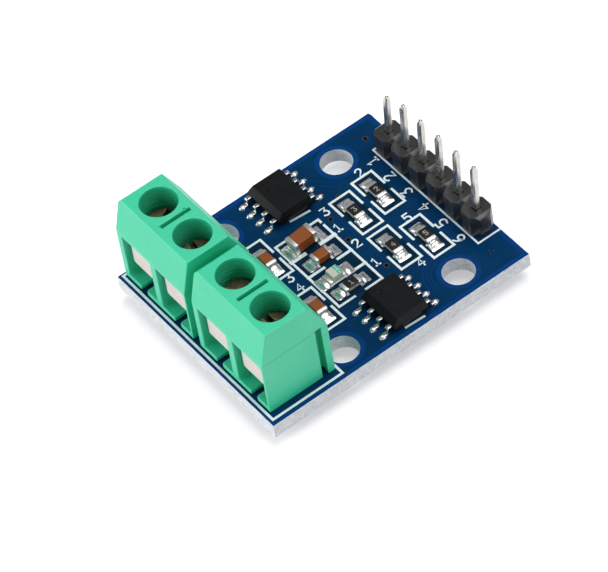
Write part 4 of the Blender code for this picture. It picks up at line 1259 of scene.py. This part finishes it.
class DRIVERBOARD_OT_header(bpy.types.Operator):
    """Make the black six-way header strip and its square pins"""

    bl_idname = "driverboard.header"
    bl_label = "Pin Header"

    def execute(self, context):
        settings = context.scene.driver_header
        black = make_finish(
            "strip_plastic", settings.plastic, 0.26, specular=0.8, fade=1.8, cloud=(0.9, 0.7, 0.10),
            grain=(14.0, 0.0008),
        )
        metal = make_finish(
            "pin_tin", settings.pin, 0.16, metallic=1.0, fade=0.7, cloud=(0.8, 0.6, 0.12), grain=(2.0, 0.003),
            stretch=(3.0, 3.0, 0.4),
        )
        low, high = board_box("header_body")
        self.make_strip(low, high, black, mm(settings.edge))
        for index in range(1, 7):
            self.make_pin(index, high.z, metal, mm(settings.pin_edge))
        return {"FINISHED"}

    def make_strip(self, low, high, finish, edge):
        """Six cells with cut corners, grooves between them and a well round each pin."""
        neck = 0.6
        half, row = (high.y - low.y) / 2, (high.y + low.y) / 2
        corner = half - neck
        front, grooves, wells = [], bmesh.new(), bmesh.new()
        for cell in range(7):
            x = low.x + cell * HEADER_PITCH
            groove = ((x, high.z - 0.3), (x + 0.6, high.z + 0.3), (x - 0.6, high.z + 0.3))
            add_prism(grooves, groove, "Y", row - 2, row + 2)
            front.append((x, row - neck))
            if cell < 6:
                front += [(x + corner, row - half), (x + HEADER_PITCH - corner, row - half)]
        for cell in range(6):
            x = low.x + (cell + 0.5) * HEADER_PITCH
            levels = ((low.z - 0.5, 0.33), (high.z - 0.06, 0.33), (high.z + 0.01, 0.36), (high.z + 0.5, 0.36))
            add_stack(wells, [(z, square(x, row, wide)) for z, wide in levels])
        back = [(x, 2 * row - y) for x, y in reversed(front)]
        add_piece(
            "header_strip", shape_of(add_prism, front + back, "Z", low.z, high.z), (finish,), "module",
            ["header_body"], cuts=(grooves, wells), bevel=edge, rounds=3, sharp=40,
            smooth=32,
        )

    def make_pin(self, index, body_top, finish, edge):
        """A square pin, pointed at both ends, that leans a little above the strip."""
        low, high = board_box(f"header_pin_{index}")
        tail_x, tail_y = low.x + 0.32, low.y + 0.32
        lean_x = min(max(high.x - 0.14 - tail_x, 0.0), 0.3)
        lean_y = min(max(high.y - 0.14 - tail_y, 0.0), 0.15)
        levels = (
            (low.z, 0.14, 0.0), (low.z + 0.5, 0.3, 0.0), (body_top - 0.2, 0.3, 0.0),
            (high.z - 0.5, 0.3, 1 - 0.5 / (high.z - body_top)), (high.z - 0.06, 0.17, 1.0),
            (high.z, 0.13, 1.0),
        )
        rings = []
        for z, half, share in levels:
            rings.append((z, square(tail_x + lean_x * share, tail_y + lean_y * share, half)))
        add_piece(
            f"pin_{index}", shape_of(add_stack, rings), (finish,), "module", [f"header_pin_{index}"],
            bevel=edge, rounds=1, sharp=50, smooth=25,
        )


# Driver chips


def lead_outline():
    """A gull-wing lead's side view as (distance, height), with round bends, outwards."""
    start, end, thick = 1.93, 3.02, 0.2
    level, foot = 0.76, 0.06
    shoulder, heel = start + 0.36, end - 0.58
    upper = [(start, level + thick)] + arc((shoulder, level + thick - 0.22), 0.22, 90, 12, 6)
    upper += arc((heel + 0.10, foot + thick + 0.08), 0.08, 192, 270, 6)
    upper += [(end - 0.05, foot + thick), (end, foot + thick - 0.05)]
    lower = [(start, level)] + arc((shoulder, level - 0.06), 0.06, 90, 12, 6)
    lower += arc((heel + 0.06, foot + 0.24), 0.24, 192, 270, 6) + [(end, foot)]
    return upper + lower[::-1]


class DRIVERBOARD_OT_chips(bpy.types.Operator):
    """Make the two driver chips with their moulded bodies and gull-wing leads"""

    bl_idname = "driverboard.chips"
    bl_label = "Driver Chips"

    def execute(self, context):
        settings = context.scene.driver_chips
        resin = make_finish(
            "chip_moulding", settings.resin, 0.34, specular=0.14, fade=1.7, cloud=(1.3, 0.7, 0.16),
            grain=(12.0, 0.003),
        )
        metal = make_finish(
            "lead_tin", settings.lead, 0.18, metallic=1.0, fade=0.6, cloud=(2.4, 0.7, 0.12),
            grain=(3.0, 0.008),
        )
        for chip in (1, 2):
            self.make_body(chip, resin, mm(settings.edge))
            self.make_leads(chip, metal)
        return {"FINISHED"}

    def make_body(self, chip, finish, edge):
        """A body drafted above and below, with its front edge cut, a pin 1 dimple and an
        ejector's mark."""
        low, high = board_box(f"driver_chip_{chip}")
        middle, top = (low + high) / 2, high.z
        a, b = (high.x - low.x) / 2, (high.y - low.y) / 2
        draft = 0.2
        levels = ((low.z, draft), (0.80, 0.0), (0.92, 0.0), (top, draft))
        y = middle.y - b + draft
        outline = ((y - 0.6, top - 1.0), (y + 0.4, top), (y + 0.4, top + 0.5), (y - 0.6, top + 0.5))
        front = shape_of(add_prism, outline, "X", middle.x - 4, middle.x + 4)
        dimple = ((0.24, top - 0.06), (0.34, top - 0.045), (0.37, top + 0.01), (0.37, top + 0.3))
        ejector = ((0.42, top - 0.016), (0.44, top + 0.3))
        marks = (
            shape_of(add_turned, dimple, 28, (middle.x - a + 1.25, middle.y - b + 1.25)),
            shape_of(add_turned, ejector, 28, (middle.x + a - 1.3, middle.y + b - 1.2)),
        )
        body = shape_of(add_cushion, levels, middle.xy, (a, b), 0.08)
        add_piece(
            f"chip_moulding_{chip}", body, (finish,), "module", [f"driver_chip_{chip}"],
            cuts=(front,), marks=marks, bevel=edge, sharp=24, smooth=30,
        )

    def make_leads(self, chip, finish):
        shape = bmesh.new()
        for x, y in lead_spots(chip):
            for turn in (0, 180):
                verts = add_prism(shape, lead_outline(), "X", -0.205, 0.205)
                turn_and_place(shape, verts, turn, (x, y, 0.0))
        nodes = [f"chip_{chip}_lead_{number}" for number in range(1, 9)]
        add_piece(
            f"chip_leads_{chip}", shape, (finish,), "module", nodes, bevel=0.03, sharp=50,
            smooth=35,
        )


# Small parts

PART_LIFT = 0.06


def add_end_caps(shape, long, wide, high, wrap, part):
    """The plated ends of a small part: a cup over each end with soft edges."""
    middle, halves = (0.0, PART_LIFT + high / 2), (wide / 2, high / 2)
    verts = []
    for side in (-1, 1):
        end = side * long / 2
        levels = ((end - side * wrap, 0.0), (end - side * 0.10, 0.0), (end - side * 0.03, 0.03), (end, 0.09))
        verts += add_cushion(shape, levels, middle, halves, 0.07, "X", part)
    return verts


class DRIVERBOARD_OT_resistors(bpy.types.Operator):
    """Make the five chip resistors: ceramic base, dark coat and wrapped metal ends"""

    bl_idname = "driverboard.resistors"
    bl_label = "Resistors"

    def execute(self, context):
        settings = context.scene.driver_small_parts
        finishes = (
            make_finish(
                "resistor_ceramic", settings.alumina, 0.6, specular=0.3, cloud=(3.0, 0.5, 0.1),
                grain=(12.0, 0.012),
            ),
            make_finish(
                "resistor_glaze", settings.glaze, 0.30, specular=0.3, fade=1.8, cloud=(2.5, 0.6, 0.15),
                grain=(6.0, 0.003),
            ),
            end_metal_finish(settings),
            make_finish("resistor_mark", (0.52, 0.50, 0.44), 0.5, cloud=(4.0, 0.5, 0.1)),
        )
        glazed, plated, marked = 1, 2, 3
        for number, (node, turn, long, wide, high) in enumerate(two_ended_parts()[:5], 1):
            spot = board_middle(node)
            shape = bmesh.new()
            top = PART_LIFT + high
            half = wide / 2 - 0.03
            base = rounded_rectangle((-half, PART_LIFT + 0.03), (half, top - 0.06), 0.05, 2)
            verts = add_prism(shape, base, "X", -long / 2 + 0.1, long / 2 - 0.1)
            coat = ((top - 0.12, 0.0), (top - 0.01, 0.0), (top + 0.015, 0.03), (top + 0.025, 0.12))
            verts += add_cushion(
                shape, coat, (0.0, 0.0), (long / 2 - 0.36, wide / 2 - 0.035), 0.09, part=glazed, steps=4
            )
            verts += add_end_caps(shape, long, wide, high, 0.42, plated)
            figure = add_number(shape, number, 0.52, 0.075, top + 0.021, top + 0.031, marked)
            turn_and_place(shape, figure, 90 - turn)
            turn_and_place(shape, verts + figure, turn, (spot.x, spot.y, 0.0))
            add_piece(f"chip_{node}", shape, finishes, "module", [node], smooth=42)
        return {"FINISHED"}


class DRIVERBOARD_OT_capacitors(bpy.types.Operator):
    """Make the four brown chip capacitors with their plated ends"""

    bl_idname = "driverboard.capacitors"
    bl_label = "Capacitors"

    def execute(self, context):
        settings = context.scene.driver_small_parts
        ceramic = make_finish(
            "capacitor_body", settings.ceramic, 0.36, specular=0.4, fade=0.75, cloud=(1.1, 0.7, 0.12),
            grain=(5.0, 0.002),
        )
        finishes = (ceramic, end_metal_finish(settings))
        for node, turn, long, wide, high in two_ended_parts()[5:9]:
            spot = board_middle(node)
            tilt = -5 if node == "capacitor_1" else 0
            end = long / 2
            swell = ((0.1 - end, 0.03), (0.3 - end, 0.03), (0.0, 0.02), (end - 0.3, 0.03), (end - 0.1, 0.03))
            shape = bmesh.new()
            verts = add_cushion(shape, swell, (0.0, PART_LIFT + high / 2), (wide / 2, high / 2), 0.07, "X")
            verts += add_end_caps(shape, long, wide, high, 0.44 if long > 2 else 0.34, part=1)
            rise = sin(radians(abs(tilt))) * end
            turn_and_place(shape, verts, turn, (spot.x, spot.y, rise), tilt)
            add_piece(f"chip_{node}", shape, finishes, "module", [node], smooth=42)
        return {"FINISHED"}


class DRIVERBOARD_OT_indicator(bpy.types.Operator):
    """Make the light-emitting diode: its base, plated ends, clear lens and green marks"""

    bl_idname = "driverboard.indicator"
    bl_label = "Indicator"

    def execute(self, context):
        settings = context.scene.driver_small_parts
        clear = make_finish(
            "indicator_lens", settings.lens, 0.14, other=(0.80, 0.78, 0.66), cloud=(1.8, 0.9, 0.1),
            grain=(4.0, 0.01), coat=0.6,
        )
        shader = clear.node_tree.nodes["Principled BSDF"]
        feed(clear.node_tree, shader, {"Transmission Weight": 0.15, "IOR": 1.5})
        finishes = (
            make_finish("indicator_base", (0.55, 0.56, 0.50), 0.5, cloud=(3.0, 0.5, 0.1)),
            end_metal_finish(settings),
            clear,
            make_finish("indicator_marks", settings.stripe, 0.4, cloud=(3.0, 0.4, 0.1)),
            make_finish("indicator_die", (0.75, 0.62, 0.25), 0.4, metallic=0.6, cloud=(4.0, 0.5, 0.1)),
        )
        plated, marked, die = 1, 3, 4
        node, turn, long, wide, high = two_ended_parts()[-1]
        spot = board_middle(node)
        lift, half = PART_LIFT, wide / 2 - 0.03
        shape = bmesh.new()
        base = rounded_rectangle((-half, lift + 0.02), (half, lift + 0.29), 0.02, 1)
        verts = add_prism(shape, base, "X", -long / 2 + 0.1, long / 2 - 0.1)
        verts += add_end_caps(shape, long, wide, high, 0.4, plated)
        verts += add_box(shape, (-0.16, -0.15, lift + 0.28), (0.14, 0.15, lift + 0.42), die)
        for inner, outer in ((0.14, 0.32), (0.42, 0.58)):
            for low, end in ((-0.54, -0.08), (0.04, 0.54)):
                verts += add_box(shape, (inner, low, lift + 0.70), (outer, end, lift + 0.805), marked)
        turn_and_place(shape, verts, turn, (spot.x, spot.y, 0.0))
        add_piece("indicator_body", shape, finishes, "module", [node], smooth=42)
        lens = bmesh.new()
        rings = [
            (lift + rise, rounded_about(0.0, 0.0, 0.6 - inset, half - inset * 0.4, 0.06))
            for rise, inset in ((0.29, 0.0), (0.72, 0.075), (0.76, 0.09), (0.78, 0.13))
        ]
        turn_and_place(lens, add_stack(lens, rings), turn, (spot.x, spot.y, 0.0))
        add_piece("indicator_lens", lens, (clear,), "module", [node], smooth=42)
        return {"FINISHED"}


# Joints under the board


def add_under_joint(shape, x, y, pin_half, land, seed):
    """A tinned ring land and the hollow cone of solder round a pin, on the board's underside."""
    sides, height, under = 36, 0.88, -LAMINATE - 0.02
    levels = [(land + 0.02, under + 0.02), (land + 0.02, under - 0.02)]
    for step in range(9):
        share = step / 8
        levels.append((land - (land - pin_half - 0.03) * (1 - (1 - share) ** 2.3), under - height * share))
    rings = []
    for radius, z in levels:
        ring = []
        for i in range(sides):
            angle = 2 * pi * i / sides
            wave = noise.noise(Vector((cos(angle) * 1.4 + seed * 5, sin(angle) * 1.4, z * 1.5 + seed)))
            r = radius * (1 + 0.035 * wave)
            ring.append(shape.verts.new((x + r * cos(angle), y + r * sin(angle), z)))
        rings.append(ring)
    bridge_rings(shape, rings)


class DRIVERBOARD_OT_under_joints(bpy.types.Operator):
    """Solder the header's and the terminals' pins on the board's underside"""

    bl_idname = "driverboard.under_joints"
    bl_label = "Joints Under the Board"

    def execute(self, context):
        solder = solder_finish(context.scene.driver_solder)
        terminals = [(terminal_spot(index), TERMINAL_LINE) for index in range(1, 5)]
        pins = [board_middle(f"header_solder_{index}").xy for index in range(1, 7)]
        for family, spots, pin_half, land, seed in (
            ("terminal", terminals, 0.5, 1.2, 1), ("header", pins, 0.42, 0.92, 10)
        ):
            shape = bmesh.new()
            for number, (x, y) in enumerate(spots):
                add_under_joint(shape, x, y, pin_half, land, seed + number)
            nodes = [f"{family}_solder_{i}" for i in range(1, len(spots) + 1)]
            add_piece(f"{family}_joints", shape, (solder,), "module", nodes, smooth=50)
        return {"FINISHED"}


# Stage


class DRIVERBOARD_OT_stage(bpy.types.Operator):
    """Set the pale floor, the soft light and the camera at the photograph's viewing angle"""

    bl_idname = "driverboard.stage"
    bl_label = "Stage"

    def execute(self, context):
        settings = context.scene.driver_stage
        scene = context.scene
        scene.view_settings.view_transform = "Standard"
        self.make_floor()
        self.make_sky(scene, settings)
        for name, energy, spot, size in (
            ("front_panel", settings.front, (-0.26, -0.54, 0.27), (0.8, 0.48)),
            ("top_panel", settings.top, (0.02, 0.14, 0.62), (0.5, 0.42)),
            ("side_panel", settings.side, (0.50, 0.21, 0.375), (0.17, 0.17)),
        ):
            self.make_panel(scene, name, energy, Vector(spot), size)
        self.make_camera(scene, settings)
        return {"FINISHED"}

    def make_floor(self):
        """White paper, lit a little for the rays that see it: the camera's, and those off metal
        or through glass."""
        paper = bpy.data.materials.new("white_paper")
        paper.use_nodes = True
        tree = paper.node_tree
        path = add_node(tree, "LightPath").outputs
        seen = maths(tree, "MAXIMUM", path["Is Camera Ray"], path["Is Glossy Ray"])
        seen = maths(tree, "MAXIMUM", seen, path["Is Transmission Ray"])
        feed(tree, tree.nodes["Principled BSDF"], {
            "Base Color": (0.8, 0.8, 0.8, 1.0), "Roughness": 0.9, "Specular IOR Level": 0.0,
            "Emission Color": (1.0, 1.0, 1.0, 1.0), "Emission Strength": maths(tree, "MULTIPLY", seen, 0.45),
        })
        shape = bmesh.new()
        bmesh.ops.create_grid(shape, x_segments=8, y_segments=8, size=0.45)
        floor = raw_object("floor", shape, (paper,))
        floor.location.z = -0.00002

    def make_sky(self, scene, settings):
        """A soft sky, brighter round the horizon than overhead, with a white band where the
        floor ends."""
        sky = bpy.data.worlds.new("soft_sky")
        sky.use_nodes = True
        scene.world = sky
        tree = sky.node_tree
        direction = add_node(tree, "TexCoord").outputs["Generated"]
        height = add_node(tree, "SeparateXYZ", {0: direction}).outputs["Z"]
        eased = {"interpolation_type": "SMOOTHSTEP"}
        fall = map_range(tree, height, 0.0, 0.5, settings.horizon, settings.sky, **eased)
        band = map_range(tree, height, 0.08, 0.13, 1.0, 0.0, **eased)
        level = maths(tree, "MAXIMUM", fall, band)
        feed(tree, tree.nodes["Background"], {"Color": (1.0, 1.0, 1.0, 1.0), "Strength": level})

    def make_panel(self, scene, name, energy, spot, size):
        lamp = bpy.data.lights.new(name, "AREA")
        lamp.shape = "RECTANGLE"
        lamp.size, lamp.size_y = size
        lamp.energy = energy
        holder = bpy.data.objects.new(name, lamp)
        scene.collection.objects.link(holder)
        holder.location = spot
        holder.rotation_euler = (-spot).to_track_quat("-Z", "Y").to_euler()

    def make_camera(self, scene, settings):
        """The photograph's camera, as fitted to the pins, bores, leads and corners in it."""
        lens = bpy.data.cameras.new("photo_camera")
        lens.lens = settings.lens
        lens.sensor_width = 36.0
        lens.sensor_fit = "HORIZONTAL"
        lens.clip_start, lens.clip_end = 0.01, 20.0
        camera = bpy.data.objects.new("photo_camera", lens)
        scene.collection.objects.link(camera)
        forward = Vector((-0.57016744, 0.32102833, -0.75620758)).normalized()
        level = forward.cross(Vector((0.0, 0.0, 1.0))).normalized()
        upright = level.cross(forward)
        right = level * cos(settings.roll) + upright * sin(settings.roll)
        basis = Matrix((right, right.cross(forward), -forward)).transposed().to_4x4()
        camera.matrix_world = Matrix.Translation((0.242441, -0.138743, 0.323504)) @ basis
        scene.camera = camera


OPERATORS = (
    DRIVERBOARD_OT_board,
    DRIVERBOARD_OT_legend,
    DRIVERBOARD_OT_lands,
    DRIVERBOARD_OT_housings,
    DRIVERBOARD_OT_terminal_metal,
    DRIVERBOARD_OT_header,
    DRIVERBOARD_OT_chips,
    DRIVERBOARD_OT_resistors,
    DRIVERBOARD_OT_capacitors,
    DRIVERBOARD_OT_indicator,
    DRIVERBOARD_OT_under_joints,
    DRIVERBOARD_OT_stage,
)


class DRIVERBOARD_PT_pieces(bpy.types.Panel):
    """Makes the module piece by piece"""

    bl_idname = "DRIVERBOARD_PT_pieces"
    bl_label = "Driver Board"
    bl_space_type = "VIEW_3D"
    bl_region_type = "UI"
    bl_category = "Driver Board"

    def draw(self, context):
        column = self.layout.column()
        for operator in OPERATORS:
            column.operator(operator.bl_idname, text=operator.bl_label)
        for label, group in SETTINGS.items():
            box = column.box()
            for name in group.__annotations__:
                box.prop(getattr(context.scene, label), name)


def register():
    for label, group in SETTINGS.items():
        bpy.utils.register_class(group)
        setattr(bpy.types.Scene, label, bpy.props.PointerProperty(type=group))
    for made in (*OPERATORS, DRIVERBOARD_PT_pieces):
        bpy.utils.register_class(made)


def unregister():
    for made in (DRIVERBOARD_PT_pieces, *reversed(OPERATORS)):
        bpy.utils.unregister_class(made)
    for label, group in reversed(SETTINGS.items()):
        delattr(bpy.types.Scene, label)
        bpy.utils.unregister_class(group)


def main():
    register()
    for operator in OPERATORS:
        family, action = operator.bl_idname.split(".")
        getattr(getattr(bpy.ops, family), action)()


if __name__ == "__main__":
    main()
